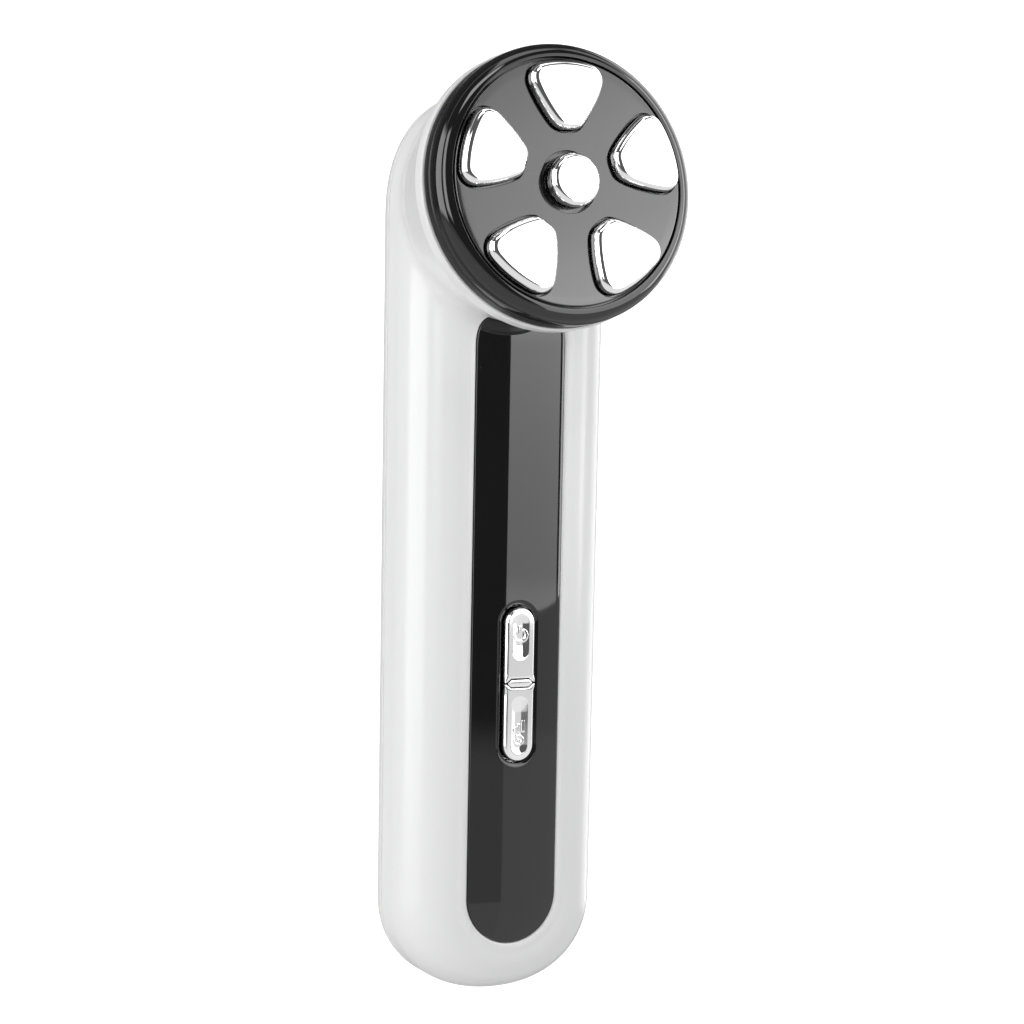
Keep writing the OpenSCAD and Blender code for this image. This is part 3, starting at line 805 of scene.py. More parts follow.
def grad(fn, p, e=0.01):
    g_ = np.empty(p.shape)
    for i in range(3):
        s = np.zeros(3)
        s[i] = e
        g_[..., i] = (fn(p + s) - fn(p - s)) / (2 * e)
    return g_


def skin_field(p, with_grad=False):
    """Smooth union of the handle and the neck: wide where they meet at an angle, slight where they run together."""
    a, b = slab_field(p), neck_field(p)
    ga, gb = grad(slab_field, p), grad(neck_field, p)
    na = ga / np.maximum(np.linalg.norm(ga, axis=-1, keepdims=True), 1e-6)
    nb = gb / np.maximum(np.linalg.norm(gb, axis=-1, keepdims=True), 1e-6)
    k = 0.9 + 2.9 * (1 - np.clip((na * nb).sum(-1), 0, 1))
    h = np.maximum(k - np.abs(a - b), 0) / k
    f = np.minimum(a, b) - h * h * k / 4
    if not with_grad:
        return f
    wa = np.where(a < b, 1 - h / 2, h / 2)[..., None]
    return f, ga * wa + gb * (1 - wa)


def grid_field(x, u, z):
    """The same union on a grid, without the angle's part: near enough for the first mesh."""
    d2 = inset(*[q.ravel() for q in np.meshgrid(x, u, indexing="ij")]).reshape(len(x), len(u))
    Z = z[None, None, :]
    upper = Z > 11.5
    r = np.where(upper, R_F, R_B)
    q1 = r - d2[:, :, None]
    q2 = r - np.where(upper, FRONT - Z, Z)
    a = np.hypot(np.maximum(q1, 0), np.maximum(q2, 0)) + np.minimum(np.maximum(q1, q2), 0) - r
    X, U, Zf = np.meshgrid(x, u, z, indexing="ij")
    b = neck_field(np.stack([X, U, Zf], -1))
    k = 2.0
    h = np.maximum(k - np.abs(a - b), 0) / k
    f = np.minimum(a, b) - h * h * k / 4
    lz = ST * (U - HEAD_U) + CT * (Zf - HEAD_Z)
    f = np.maximum(f, 6.0 - Zf)
    f = np.maximum(f, lz + 9.4)
    return f


def surface_nets(f, x, u, z):
    s = f < 0
    nx, ny, nz = f.shape
    c = np.zeros((nx - 1, ny - 1, nz - 1), int)
    for i in (0, 1):
        for j in (0, 1):
            for k in (0, 1):
                c += s[i:nx - 1 + i, j:ny - 1 + j, k:nz - 1 + k]
    mixed = (c > 0) & (c < 8)
    idx = -np.ones(c.shape, int)
    cells = np.argwhere(mixed)
    idx[mixed] = np.arange(len(cells))
    acc = np.zeros((len(cells), 3))
    cnt = np.zeros(len(cells))
    corners = [(i, j, k) for i in (0, 1) for j in (0, 1) for k in (0, 1)]
    ax = [x, u, z]
    for a_ in corners:
        for b_ in corners:
            if sum(abs(p - q) for p, q in zip(a_, b_)) != 1 or a_ > b_:
                continue
            va = f[tuple((cells + a_).T)]
            vb = f[tuple((cells + b_).T)]
            hit = (va < 0) != (vb < 0)
            t = np.where(hit, va / np.where(hit, va - vb, 1), 0)
            pa = np.stack([ax[i][cells[:, i] + a_[i]] for i in range(3)], -1)
            pb = np.stack([ax[i][cells[:, i] + b_[i]] for i in range(3)], -1)
            acc += np.where(hit[:, None], pa + (pb - pa) * t[:, None], 0)
            cnt += hit
    v = acc / cnt[:, None]
    quads = []
    for d in range(3):
        o1, o2 = [(1, 2), (2, 0), (0, 1)][d]
        sl0 = [slice(None)] * 3
        sl1 = [slice(None)] * 3
        sl0[d] = slice(0, -1)
        sl1[d] = slice(1, None)
        change = s[tuple(sl0)] != s[tuple(sl1)]
        e = np.argwhere(change)
        lim = [nx, ny, nz]
        ok = (e[:, o1] > 0) & (e[:, o1] < lim[o1] - 1) & (e[:, o2] > 0) & (e[:, o2] < lim[o2] - 1)
        e = e[ok]
        q = []
        for (p1, p2) in ((-1, -1), (0, -1), (0, 0), (-1, 0)):
            cc = e.copy()
            cc[:, o1] += p1
            cc[:, o2] += p2
            q.append(idx[tuple(cc.T)])
        q = np.stack(q, -1)
        inside_first = s[tuple(e.T)]
        q[~inside_first] = q[~inside_first][:, ::-1]
        quads.append(q)
    return v, np.concatenate(quads)


def neighbours(n, quads):
    a = np.concatenate([quads[:, i] for i in range(4)])
    b = np.concatenate([quads[:, (i + 1) % 4] for i in range(4)])
    e = np.unique(np.stack([np.minimum(a, b), np.maximum(a, b)], -1), axis=0)
    return np.concatenate([e[:, 0], e[:, 1]]), np.concatenate([e[:, 1], e[:, 0]])


def make_skin(step):
    x = np.arange(-28.4, 28.4 + step, step)
    u = np.arange(-1.5, 189.5 + step, step)
    z = np.arange(4.9, 36.5 + step, step)
    v, q = surface_nets(grid_field(x, u, z), x, u, z)
    lz = ST * (v[:, 1] - HEAD_U) + CT * (v[:, 2] - HEAD_Z)
    free = (v[:, 2] > 6.6) & (lz < -10.0)
    i0, i1 = neighbours(len(v), q)
    deg = np.bincount(i0, minlength=len(v))[:, None]
    for it in range(9):
        f, g_ = skin_field(v, True)
        g2 = np.maximum((g_ ** 2).sum(-1, keepdims=True), 0.05)
        v = np.where(free[:, None], v - np.clip(f[:, None], -0.8, 0.8) * g_ / g2, v)
        if it < 6:
            mean = np.stack([np.bincount(i0, weights=v[i1, k], minlength=len(v)) for k in range(3)], -1) / deg
            d = mean - v
            n_ = g_ / np.sqrt(g2)
            d -= n_ * (d * n_).sum(-1, keepdims=True)
            v = np.where(free[:, None], v + 0.6 * d, v)
    return v, q


def trimmed(v, q, cuts):
    """The mesh on the positive side of each plane (point, normal); short edges on the cuts are merged."""
    me = bpy.data.meshes.new("skin_tmp")
    me.from_pydata(v.tolist(), [], q.tolist())
    bm = bmesh.new()
    bm.from_mesh(me)
    bpy.data.meshes.remove(me)
    for co, no in cuts:
        geom = bm.verts[:] + bm.edges[:] + bm.faces[:]
        bmesh.ops.bisect_plane(bm, geom=geom, dist=1e-5, plane_co=co, plane_no=no, clear_inner=True)
    rim = [w for w in bm.verts if w.is_boundary]
    bmesh.ops.remove_doubles(bm, verts=rim, dist=0.16)
    bm.verts.index_update()
    vv = np.array([w.co[:] for w in bm.verts])
    ff = [[w.index for w in fc.verts] for fc in bm.faces]
    # boundary loops, in the faces' own direction
    nxt = {}
    for e in bm.edges:
        if len(e.link_loops) == 1:
            l = e.link_loops[0]
            nxt[l.vert.index] = l.link_loop_next.vert.index
    bm.free()
    loops = []
    while nxt:
        s = next(iter(nxt))
        lp = [s]
        while True:
            t = nxt.pop(lp[-1])
            if t == s:
                break
            lp.append(t)
        loops.append(lp)
    return vv, ff, loops


STEP = 0.62
sv, sq = make_skin(STEP)
low_cut = SEAM + 0.26
head_axis = np.array([0, ST, CT])
top_point = head(np.array([0.0, 0, -11.0]))
vv, ff, loops = trimmed(sv, sq, [((0, 0, low_cut), (0, 0, 1)), (tuple(top_point), tuple(-head_axis))])
_, gg = skin_field(vv, True)
nn = gg / np.linalg.norm(gg, axis=1, keepdims=True)
n_out = len(vv)
# inner face of the shell
inner_v = vv - nn * WALL
verts = [vv, inner_v]
faces = [list(f) for f in ff] + [[n_out + i for i in f][::-1] for f in ff]
base = 2 * n_out
for lp in loops:
    p = vv[lp]
    nlp = nn[lp].copy()
    seam_loop = abs(p[:, 2].mean() - low_cut) < 0.3
    prev = list(lp)
    n = len(lp)
    if seam_loop:
        nlp[:, 2] = 0
        nlp /= np.linalg.norm(nlp, axis=1, keepdims=True)
        for off, dz in ((0.02, 0.17), (0.07, 0.11), (0.16, 0.085), (WALL - 0.1, 0.085)):
            r_ = p - nlp * off
            r_[:, 2] = SEAM + dz
            verts.append(r_)
            cur = [base + i for i in range(n)]
            base += n
            for i in range(n):
                j = (i + 1) % n
                faces.append([prev[j], prev[i], cur[i], cur[j]])
            prev = cur
    inn = [n_out + i for i in lp]
    for i in range(n):
        j = (i + 1) % n
        faces.append([prev[j], prev[i], inn[i], inn[j]])
shell_v = np.concatenate(verts)


def neck_prism(grow):
    """The neck as a closed solid, for trimming what runs into it."""
    t = np.arange(192) * 2 * np.pi / 192
    rings = []
    for d in np.linspace(34, 9, 26):
        r_ = neck_radius(np.array([d]))[0] + grow
        rings.append(head(np.stack([r_ * np.cos(t), r_ * np.sin(t), np.full(192, -d)], -1)))
    return loops_to_mesh(rings)


def slot_prism(hw, hh, y0, y1, zc):
    """Slot with round ends, along the handle."""
    t = np.linspace(-np.pi / 2, np.pi / 2, 25)
    right = np.stack([hw - hh + hh * np.cos(t), zc + hh * np.sin(t)], -1)
    left = np.stack([-(hw - hh) - hh * np.cos(t), zc - hh * np.sin(t)], -1)
    o = np.concatenate([right, left])
    a = np.stack([o[:, 0], np.full(len(o), y0), o[:, 1]], -1)
    b = np.stack([o[:, 0], np.full(len(o), y1), o[:, 1]], -1)
    return loops_to_mesh([b, a])


pocket = solid_of("pocket", *prism(stadium(PANEL_U0 - 0.27, PU1 + PANEL_W + 0.27, PANEL_W + 0.27), 23.2, 31.0))
pv, pf = boolean(pocket, [solid_of("neck", *neck_prism(0.02))])
cutters = [
    solid_of("pocket2", pv, pf),
    solid_of("keyhole", *prism(stadium(KEY_MID - KEY_LEN / 2 - 0.6, KEY_MID + KEY_LEN / 2 + 0.6, KEY_W + 0.6, 24, 20), 15.0, 30.0)),
    solid_of("port", *slot_prism(4.7, 1.9, -3.0, 4.5, 13.3)),
]
shell = boolean(solid_of("shell", shell_v, faces), cutters)

# raised rim round the inlay, swept along its outline
RIM = [(0.1, 23.4), (0.1, 24.1), (0.12, 24.19), (0.18, 24.27), (0.29, 24.345), (0.44, 24.405), (0.62, 24.45),
       (0.84, 24.48), (1.06, 24.492), (1.28, 24.484), (1.5, 24.455), (1.72, 24.41), (1.94, 24.36), (2.14, 24.318),
       (2.35, 24.297), (2.35, 23.9), (0.45, 23.9), (0.45, 23.4)]


def rim_path(n_arc=48, n_side=90):
    """Half stadium at the lower end, the straight sides and the arcs that run into the neck, with outward normals."""
    t = np.linspace(math.radians(62), 0, 26)
    right_top = [((math.cos(a) * PANEL_W, PU1 + math.sin(a) * PANEL_W), (math.cos(a), math.sin(a))) for a in t]
    side_r = [((PANEL_W, PU1 + (PU0 - PU1) * i / n_side), (1, 0)) for i in range(1, n_side)]
    t = np.linspace(0, -math.pi, n_arc + 1)
    low = [((math.cos(a) * PANEL_W, PU0 + math.sin(a) * PANEL_W), (math.cos(a), math.sin(a))) for a in t]
    side_l = [((-PANEL_W, PU0 + (PU1 - PU0) * i / n_side), (-1, 0)) for i in range(1, n_side)]
    left_top = [((-x, y), (-nx_, ny_)) for (x, y), (nx_, ny_) in right_top[::-1]]
    q = right_top + side_r + low + side_l + left_top
    return np.array([a for a, _ in q]), np.array([b for _, b in q])


rp, rn = rim_path()
rings = [np.array([[*(rp[i] + rn[i] * s), z_] for s, z_ in RIM]) for i in range(len(rp))]
rim = loops_to_mesh(rings)

# white collar under the black ring
COLLAR = fine([(25.3, -7.27)] + arc(27.02, -7.61, 0.34, 90, 8, 8) + [(27.3, -9.6)]
              + arc(26.75, -10.1, 0.56, 0, -80, 8) + [(25.6, -10.95)], 2.0)[::-1]
collar_v, collar_f = lathe(COLLAR)
collar = (head(collar_v), collar_f)
fv_, ff_ = join(shell, rim, collar)
front = new_object("front_shell_skin", fv_, ff_, MATS["white_shell"], sharp=32)
piece(front, "housing", "front_shell")

# ---------------------------------------------------------------------------
# Rear shell
# ---------------------------------------------------------------------------
def slab_rings(w, zs):
    out = []
    for z_, d, w_ in zs:
        o = outline(d, w_)
        out.append(np.column_stack([o, np.full(len(o), z_)]))
    return out


top_z = SEAM - 0.085
prof = []
for i in range(19):
    a = math.pi / 2 * i / 18
    zz = R_B * (1 - math.cos(a))
    if zz <= SEAM - 0.27:
        prof.append((zz, R_B * (1 - math.sin(a)), 0.0))
prof += [(SEAM - 0.25, 0.0, 0.0), (SEAM - 0.17, 0.0, 0.02), (SEAM - 0.11, 0.0, 0.07), (top_z, 0.0, 0.16),
         (top_z, 0.0, WALL - 0.05)]
inner_prof = []
for i in range(13):
    a = math.pi / 2 * i / 12
    zz = WALL + (R_B - WALL) * (1 - math.cos(a))
    if zz < SEAM - 0.4:
        inner_prof.append((zz, (R_B - WALL) * (1 - math.sin(a)), WALL))
rear_rings = slab_rings(0, prof) + slab_rings(0, inner_prof[::-1])
rv, rf = loops_to_mesh(rear_rings)
# both caps are flat: the underside and the inside floor
rear = solid_of("rear", rv, rf)


def rod(x, u, z0, z1, r, seg=48, r1=None):
    t = np.arange(seg) * 2 * np.pi / seg
    r1 = r if r1 is None else r1
    return loops_to_mesh([np.stack([x + r * np.cos(t), u + r * np.sin(t), np.full(seg, z0)], -1),
                          np.stack([x + r1 * np.cos(t), u + r1 * np.sin(t), np.full(seg, z1)], -1)])


SCREWS = [(-7, 15), (7, 15), (-12, 128), (12, 128)]
rear_v, rear_f = boolean(rear, [solid_of("boss", *rod(x, u, 1.2, 5.0, 3.3)) for x, u in SCREWS], "UNION")
cut = []
for x, u in SCREWS:
    cut.append(solid_of("bore", *rod(x, u, -1, 2.4, 2.3)))
    cut.append(solid_of("bore", *rod(x, u, -1, 8, 1.15)))
    cut.append(solid_of("lead", *rod(x, u, -0.3, 0.3, 2.85, r1=2.25)))
rear_v, rear_f = boolean(solid_of("rear2", rear_v, rear_f), cut)
rear_ob = new_object("rear_shell_skin", rear_v, rear_f, MATS["white_shell"], sharp=32)
piece(rear_ob, "housing", "rear_shell")

# ---------------------------------------------------------------------------
# Black inlay: crowned across its width, dished round the keys
# ---------------------------------------------------------------------------
HOLE_W = KEY_W + 0.6
KH0, KH1 = KEY_MID - KEY_LEN / 2, KEY_MID + KEY_LEN / 2


def stadium_distance(p, u0, u1, r):
    """Signed distance to a stadium along u."""
    du = p[:, 1] - np.clip(p[:, 1], u0 + r, u1 - r)
    return np.hypot(p[:, 0], du) - r


def crown_height(p):
    du = p[:, 1] - np.clip(p[:, 1], PU0, PU1)
    rho = np.minimum(np.hypot(p[:, 0], du), PANEL_W + 0.3)
    return EDGE + CROWN - CROWN_R + np.sqrt(CROWN_R ** 2 - rho ** 2)


def inlay_height(p):
    s = stadium_distance(p, KH0 - 0.6, KH1 + 0.6, HOLE_W)
    t = np.clip(1 - s / 0.95, 0, 1.2)
    return crown_height(p) - 0.34 * t ** 1.8


# outline, cut short where it runs under the neck
full = stadium(PANEL_U0, PU1 + PANEL_W, PANEL_W, 72, 120)
neck_gap = 0.1


def neck_clear(p):
    return neck_field(np.column_stack([p, np.full(len(p), EDGE)])) - neck_gap


keep = neck_clear(full) > 0
start_i = np.argmax(~keep & np.roll(keep, -1))
ordered = np.roll(full, -(start_i + 1), 0)
kept = ordered[neck_clear(ordered) > 0]
# arc along the neck between the two ends, from left to right
xa, xb = kept[-1, 0], kept[0, 0]


def neck_u(x):
    lo, hi = np.full(x.shape, 120.0), np.full(x.shape, 145.0)
    for _ in range(40):
        m_ = (lo + hi) / 2
        c = neck_clear(np.stack([x, m_], -1)) > 0
        lo = np.where(c, m_, lo)
        hi = np.where(c, hi, m_)
    return lo


# sharpen the two corners
def corner(sign):
    lo, hi = 0.0, math.pi / 2
    for _ in range(50):
        a = (lo + hi) / 2
        q = np.array([[sign * PANEL_W * math.cos(a), PU1 + PANEL_W * math.sin(a)]])
        if neck_clear(q)[0] > 0:
            lo = a
        else:
            hi = a
    return q[0]


cl, cr = corner(-1), corner(1)
kept = kept[(np.hypot(*(kept - cl).T) > 0.25) & (np.hypot(*(kept - cr).T) > 0.25)]
if kept[0, 0] < 0:
    first_left = True
else:
    first_left = False
xs = np.linspace(cr[0], cl[0], 26)[1:-1]
arc_pts = np.stack([xs, neck_u(xs)], -1)
# the kept run goes from the left corner down and round to the right corner
run = kept if first_left else kept
panel_outline = np.concatenate([[cl], run, [cr], arc_pts])
hole = stadium(KH0 - 0.6, KH1 + 0.6, HOLE_W, 28, 44)
gx_, gu_ = np.meshgrid(np.arange(-9.3, 9.31, 0.62), np.arange(PANEL_U0 + 0.6, 136, 1.05))
pts = np.column_stack([gx_.ravel(), gu_.ravel()])
near = stadium_distance(pts, KH0 - 0.6, KH1 + 0.6, HOLE_W) < 1.3
pts = pts[~near]
rows_ = []
for s in (0.36, 0.48, 0.6, 0.72, 0.84, 0.95, 1.1):
    rows_.append(stadium(KH0 - 0.6 - s, KH1 + 0.6 + s, HOLE_W + s, 28, 44))
pts = np.concatenate([pts, *rows_])
iv, if_, inn_ = plate(panel_outline, hole, pts, inlay_height, 0.32, 0.2, 23.25)
inlay = new_object("panel_inlay_skin", iv, if_, MATS["black_gloss"], sharp=None, normals=inn_)
piece(inlay, "housing", "panel_inlay")

# ---------------------------------------------------------------------------
# Keys and the bar between them
# ---------------------------------------------------------------------------
def ramp(v, a, b):
    t = np.clip((v - a) / (b - a), 0, 1)
    return t * t * (3 - 2 * t)


def power_mark(p, c, size):
    """Relief of an open ring with a stroke through its gap."""
    x, y = (p[:, 0] - c[0]) / size, (p[:, 1] - c[1]) / size
    r_, a = np.hypot(x, y), np.abs(np.arctan2(x, y))
    ring = ramp(0.17 - np.abs(r_ - 0.8), -0.04, 0.06) * ramp(a, 0.52, 0.68)
    bar = ramp(0.14 - np.abs(x), -0.04, 0.06) * ramp(0.5 - np.abs(y - 0.62), -0.04, 0.08)
    return np.maximum(ring, bar)


def level_mark(p, c, size):
    """Relief of three bars of growing height over a small ring."""
    x, y = (p[:, 0] - c[0]) / size, (p[:, 1] - c[1]) / size
    res = np.zeros(len(p))
    for i, h_ in enumerate((0.6, 1.05, 1.55)):
        xc = -0.66 + 0.66 * i
        b = ramp(0.19 - np.abs(x - xc), -0.05, 0.06) * ramp(h_ / 2 - np.abs(y - h_ / 2), -0.05, 0.07)
        res = np.maximum(res, b)
    r_ = np.hypot(x, y + 1.15)
    res = np.maximum(res, ramp(0.16 - np.abs(r_ - 0.62), -0.05, 0.06))
    return np.maximum(res, ramp(0.2 - r_, -0.05, 0.06))


def key_outline(side, n=36):
    """Half of the key stadium, notched round the bar."""
    g_, w = 0.22, KEY_W + 0.2
    r_ = 0.0
    y_end = KH1 + 0.2 - w if side > 0 else KH0 - 0.2 + w
    t = np.linspace(0, math.pi, n + 1)
    if side > 0:
        cap = np.stack([w * np.cos(t), y_end + w * np.sin(t)], -1)
    else:
        cap = np.stack([-w * np.cos(t), y_end - w * np.sin(t)], -1)
    y0 = KEY_SPLIT + side * 0.14
    y1 = KEY_SPLIT + side * (0.7 + g_)
    ys = np.linspace(y_end, y0, 22)[1:]
    sgn = 1 if side > 0 else -1
    first = np.stack([np.full(len(ys), -w * sgn), ys], -1)
    notch = np.array([[-2.95 * sgn, y0], [-2.38 * sgn, (y0 + y1) / 2], [-1.95 * sgn, y1],
                      [-1.2 * sgn, y1], [-0.4 * sgn, y1], [0.4 * sgn, y1], [1.2 * sgn, y1],
                      [1.95 * sgn, y1], [2.38 * sgn, (y0 + y1) / 2], [2.95 * sgn, y0]])
    last = np.stack([np.full(len(ys), w * sgn), ys[::-1]], -1)
    return np.concatenate([cap, first, notch, last])


def key_height(side):
    u_in = KEY_SPLIT + side * (4.4 if side > 0 else 2.6)
    u_out = (KH1 if side > 0 else KH0) - side * 1.25
    lo, hi = min(u_in, u_out), max(u_in, u_out)
    centre = (0.0, (lo + hi) / 2 + (0.5 if side > 0 else -1.3))

    def fn(p):
        s = stadium_distance(p, lo, hi, 1.9)
        dish = 0.5 * ramp(-s, 0.0, 1.35) * (0.25 + 0.75 * ramp((p[:, 1] - u_in) * side, 0.0, 3.2))
        outer_d = -stadium_distance(p, KH0, KH1, KEY_W)
        z_ = KEY_TOP - dish - 0.05 * ramp(0.5 - outer_d, 0, 0.4)
        mark = power_mark(p, centre, 1.6) if side > 0 else level_mark(p, centre, 1.45)
        return z_ + 0.2 * mark
    return fn, lo, hi


KEY_Z0 = 20.6
FLANGE_TOP = 21.4


def make_key(side, name, node, body):
    o = key_outline(side)
    fn, lo, hi = key_height(side)
    dx = 0.09
    gx2, gu2 = np.meshgrid(np.arange(-1.95, 1.951, dx), np.arange(lo, hi + 0.01, dx * 1.02))
    p = np.column_stack([gx2.ravel(), gu2.ravel()])
    s = stadium_distance(p, lo, hi, 1.9)
    p = p[s < -0.06]
    extra = [stadium(lo - e_, hi + e_, 1.9 + e_, 30, 40) for e_ in (0.0, 0.2)]
    far = []
    y_a, y_b = sorted((KEY_SPLIT + side * 1.4, KEY_SPLIT + side * 2.5))
    gx3, gu3 = np.meshgrid(np.arange(-2.4, 2.41, 0.4), np.arange(y_a, y_b, 0.35))
    far = np.column_stack([gx3.ravel(), gu3.ravel()])
    far = far[stadium_distance(far, lo, hi, 1.9) > 0.35]
    pts_ = np.concatenate([p, *extra, far])
    edge_r = 0.12 + 0.48 * ramp(np.abs(o[:, 1] - KEY_SPLIT), 0.7, 1.7)
    kv, kf, kn = plate(o, None, pts_, fn, edge_r, 0.0, KEY_Z0 + 0.02, steps=10, drop=2.1)
    # flange and stem, below the opening
    ext = stadium(KH0 - 1.2, KH1 + 1.2, KEY_W + 1.2, 20, 24)
    cutline = KEY_SPLIT + side * 1.15
    sel = ext[(ext[:, 1] - cutline) * side > 0]
    # order the kept run so that it starts at the cut
    d_ = np.hypot(*(np.roll(sel, -1, 0) - sel).T)
    sel = np.roll(sel, -(int(np.argmax(d_)) + 1), 0)
    a_ = np.array([[sel[0, 0], cutline]])
    b_ = np.array([[sel[-1, 0], cutline]])
    fl_out = np.concatenate([a_, sel, b_])
    flv, flf = prism(fl_out, KEY_Z0, FLANGE_TOP)
    stem = rod(0, KEY_MID + side * 7.9, 20.35, KEY_Z0 + 0.3, 1.9, 40)
    parts_v, parts_f = join((kv, kf), (flv, flf), stem)
    norms = np.concatenate([kn, np.zeros((len(parts_v) - len(kn), 3))])
    ob = new_object(name, parts_v, parts_f, MATS["key_metal"], sharp=40)
    piece(ob, body, node)
    return ob


make_key(1, "key_upper_cap", "key_upper", "upper_key")
make_key(-1, "key_lower_cap", "key_lower", "lower_key")

bar = np.array([[1.88, -0.7], [2.15, -0.5], [2.58, -0.16], [2.58, 0.16], [2.15, 0.5], [1.88, 0.7],
                [0.6, 0.7], [-0.6, 0.7], [-1.88, 0.7], [-2.15, 0.5], [-2.58, 0.16], [-2.58, -0.16],
                [-2.15, -0.5], [-1.88, -0.7], [-0.6, -0.7], [0.6, -0.7]]) + [0, KEY_SPLIT]


def bar_height(p):
    return KEY_TOP + 0.05 - 0.03 * ((p[:, 1] - KEY_SPLIT) / 0.7) ** 2


gxb, gub = np.meshgrid(np.arange(-2, 2.01, 0.25), np.arange(-0.45, 0.46, 0.15) + KEY_SPLIT)
bv, bf, bn = plate(bar, None, np.column_stack([gxb.ravel(), gub.ravel()]), bar_height, 0.1, 0, 19.85, steps=4)
bridge = new_object("key_bridge_bar", bv, bf, MATS["key_metal"], sharp=40)
piece(bridge, "housing", "key_bridge")

# ---------------------------------------------------------------------------
# Head: face plate, ring, base band
# ---------------------------------------------------------------------------
FACE = fine([(0.001, -1.8), (FACE_R, -1.8)] + [(FACE_R, -0.42)] + arc(FACE_R - 0.32, -0.32, 0.32, 0, 90, 7) + [(0.001, 0.0)], 1.6)
FACE_OBJ = lathe(FACE)

bz = arc(RING_R - CURVE, -0.1 - CURVE, CURVE, 0, 88, 22)
BEZEL = [(22.25, -4.2), (26.66, -4.2)] + arc(26.66, -3.86, 0.34, -90, 0, 6) + bz[0:] \
    + arc(24.18, -0.22, 0.12, 90, 180, 4) + [(24.06, -1.85), (22.25, -1.85)]
bzv, bzf = lathe(fine(BEZEL, 1.2))
bezel = new_object("bezel_ring_turned", head(bzv), bzf, MATS["black_ring"], sharp=35)
piece(bezel, "housing", "bezel_ring")

BASE = [(23.25, -12.25), (24.85, -12.25), (24.85, -6.98), (26.66, -6.98)] + arc(26.66, -6.65, 0.33, -90, 0, 6) \
    + arc(26.6, -4.88, 0.39, 0, 90, 6) + [(24.85, -4.49), (24.85, -4.26), (23.25, -4.26)]
bav, baf = lathe(fine(BASE, 1.2))
lev, lef = lathe(fine([(19.02, -11.6), (23.6, -11.6), (23.6, -9.92), (19.02, -9.92)], 1.5), 128)
base_v, base_f = join((head(bav), baf), (head(lev), lef))
hb = new_object("head_base_band", base_v, base_f, MATS["black_satin"], sharp=35)
piece(hb, "housing", "head_base")


# ---------------------------------------------------------------------------
# Electrodes
# ---------------------------------------------------------------------------
PAD_CIRCLES = [(-4.55, 19.45, 3.0), (4.55, 19.45, 3.0), (0.0, 19.9, 3.05), (-2.8, 16.0, 2.92), (2.8, 16.0, 2.92),
               (-1.0, 12.6, 2.55), (1.0, 12.6, 2.55)]


def pad_support(n=720, spread=5.5):
    """Support function of the hull of the circles, eased over a few degrees so that the sides bow softly."""
    t = np.arange(n) * 2 * np.pi / n
    h = np.max([x * np.cos(t) + y * np.sin(t) + r_ for x, y, r_ in PAD_CIRCLES], axis=0)
    f = np.fft.fftfreq(n, 1.0 / n)
    return np.fft.ifft(np.fft.fft(h) * np.exp(-0.5 * (f * math.radians(spread)) ** 2)).real


PAD_SUPPORT = pad_support()
PAD_SLOPE = np.fft.ifft(np.fft.fft(PAD_SUPPORT) * 1j * np.fft.fftfreq(720, 1.0 / 720)).real


def pad_ring(shrink, z_, seg=180):
    k = np.arange(seg) * (720 // seg)
    t = k * 2 * np.pi / 720
    h, d = PAD_SUPPORT[k] - shrink, PAD_SLOPE[k]
    return np.column_stack([h * np.cos(t) - d * np.sin(t), h * np.sin(t) + d * np.cos(t), np.full(seg, z_)])


def pad_mesh(h, seg=180):
    """Rounded three-sided electrode: a sloping wall, a soft shoulder and a flat top."""
    t = np.arange(seg) * 2 * np.pi / seg
    wall_top, in_, up_ = h - 1.35, 1.3, 1.35
    rings = [pad_ring(-0.2, -1.74), pad_ring(-0.2, 0.1), pad_ring(-0.16, wall_top * 0.6)]
    for i in range(0, 15):
        a = math.pi / 2 * i / 14
        rings.append(pad_ring(-0.12 + (in_ + 0.12) * (1 - math.cos(a) if i < 14 else 1.0), wall_top + up_ * math.sin(a)))
    c = np.array([0.0, 17.0])
    edge = rings[-1].copy()
    for k in (0.8, 0.6, 0.4, 0.2, 0.06):
        q = edge.copy()
        q[:, :2] = c + (edge[:, :2] - c) * k
        q[:, 2] = h + 0.008 * (1 - k * k)
        rings.append(q)
    stud = [(np.stack([1.25 * np.cos(t[::6]), 17 + 1.25 * np.sin(t[::6]), np.full(len(t[::6]), z_)], -1)) for z_ in (-5.2, -1.72)]
    return join(loops_to_mesh(rings), loops_to_mesh(stud))


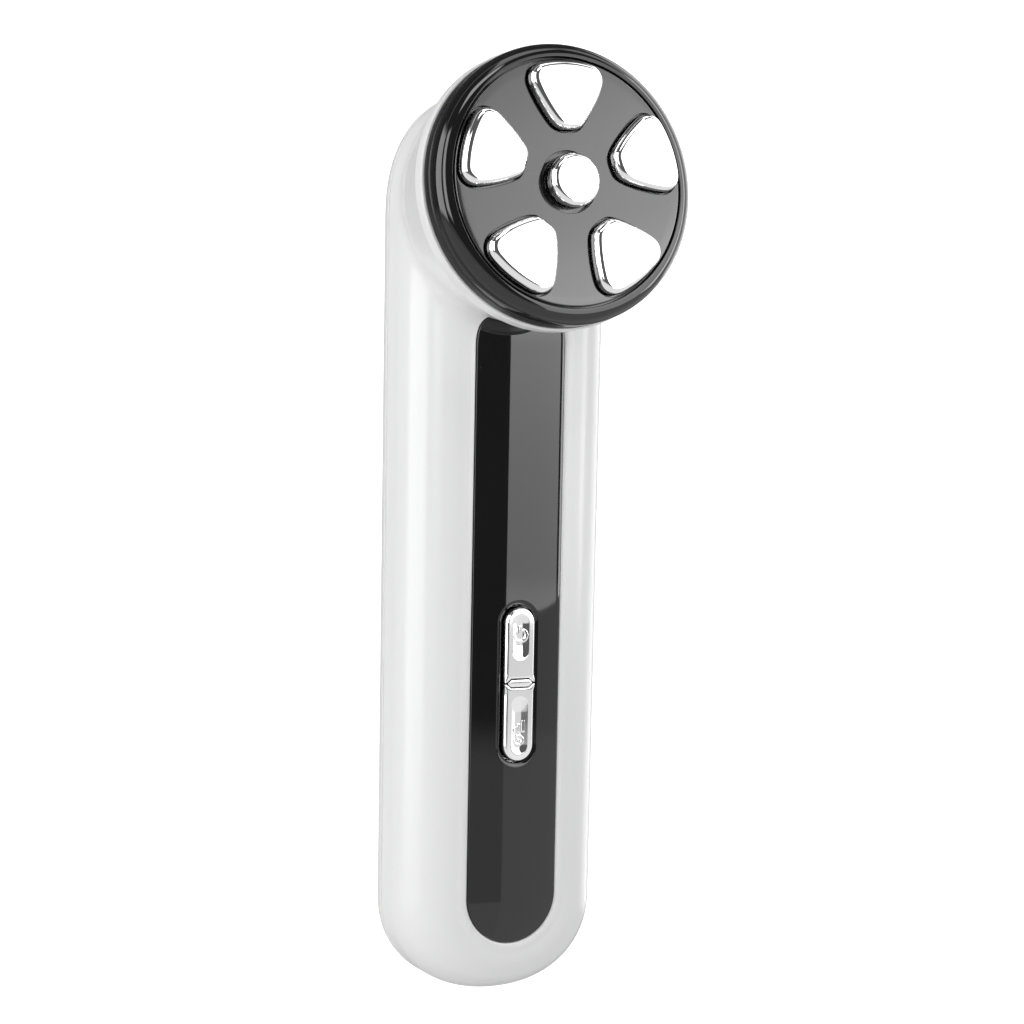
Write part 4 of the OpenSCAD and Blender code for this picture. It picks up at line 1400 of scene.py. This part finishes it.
PADS = [("pad_top", 90), ("pad_left", 162), ("pad_right", 18), ("pad_lower_left", 234), ("pad_lower_right", 306)]
pmv, pmf = pad_mesh(PAD_H)
for nm, ang in PADS:
    a = math.radians(ang - 90)
    rot = np.array([[math.cos(a), -math.sin(a), 0], [math.sin(a), math.cos(a), 0], [0, 0, 1]])
    o = new_object(nm + "_electrode", head(pmv @ rot.T), pmf, MATS["electrode"], sharp=40)
    piece(o, "housing", nm)

# face plate, cut away round each electrode
cutters = []
for nm, ang in PADS:
    a = math.radians(ang - 90)
    rot = np.array([[math.cos(a), -math.sin(a), 0], [math.sin(a), math.cos(a), 0], [0, 0, 1]])
    cv_, cf_ = loops_to_mesh([pad_ring(-0.54, -1.7), pad_ring(-0.54, -0.14), pad_ring(-0.57, -0.05), pad_ring(-0.64, 0.015),
                              pad_ring(-0.64, 1.0)])
    cutters.append(solid_of("seat", cv_ @ rot.T, cf_))
cv_, cf_ = lathe([(0.001, -1.7), (CENTRE_R + 0.75, -1.7), (CENTRE_R + 0.75, -0.14), (CENTRE_R + 0.78, -0.05),
                  (CENTRE_R + 0.86, 0.015), (CENTRE_R + 0.86, 1.0), (0.001, 1.0)], 144)
cutters.append(solid_of("seat", cv_, cf_))
fcv, fcf = boolean(solid_of("face", *FACE_OBJ), cutters)
face = new_object("face_plate_disc", head(fcv), fcf, MATS["face_black"], sharp=35)
piece(face, "housing", "face_plate")

CEN = [(0.001, -1.74), (CENTRE_R, -1.74), (CENTRE_R, 0.1), (CENTRE_R - 0.03, 1.1)] \
    + [(CENTRE_R - 0.06 - 1.25 * (1 - math.cos(math.radians(a))), CENTRE_H - 1.45 + 1.45 * math.sin(math.radians(a)))
       for a in range(0, 91, 6)] + [(2.6, CENTRE_H + 0.004), (1.2, CENTRE_H + 0.006), (0.001, CENTRE_H + 0.007)]
cv, cf = lathe(CEN, 144)
st = lathe([(0.001, -5.2), (1.25, -5.2), (1.25, -1.72), (0.001, -1.72)], 48)
cjv, cjf = join((cv, cf), st)
cen = new_object("pad_centre_electrode", head(cjv), cjf, MATS["electrode"], sharp=40)
piece(cen, "housing", "pad_centre")
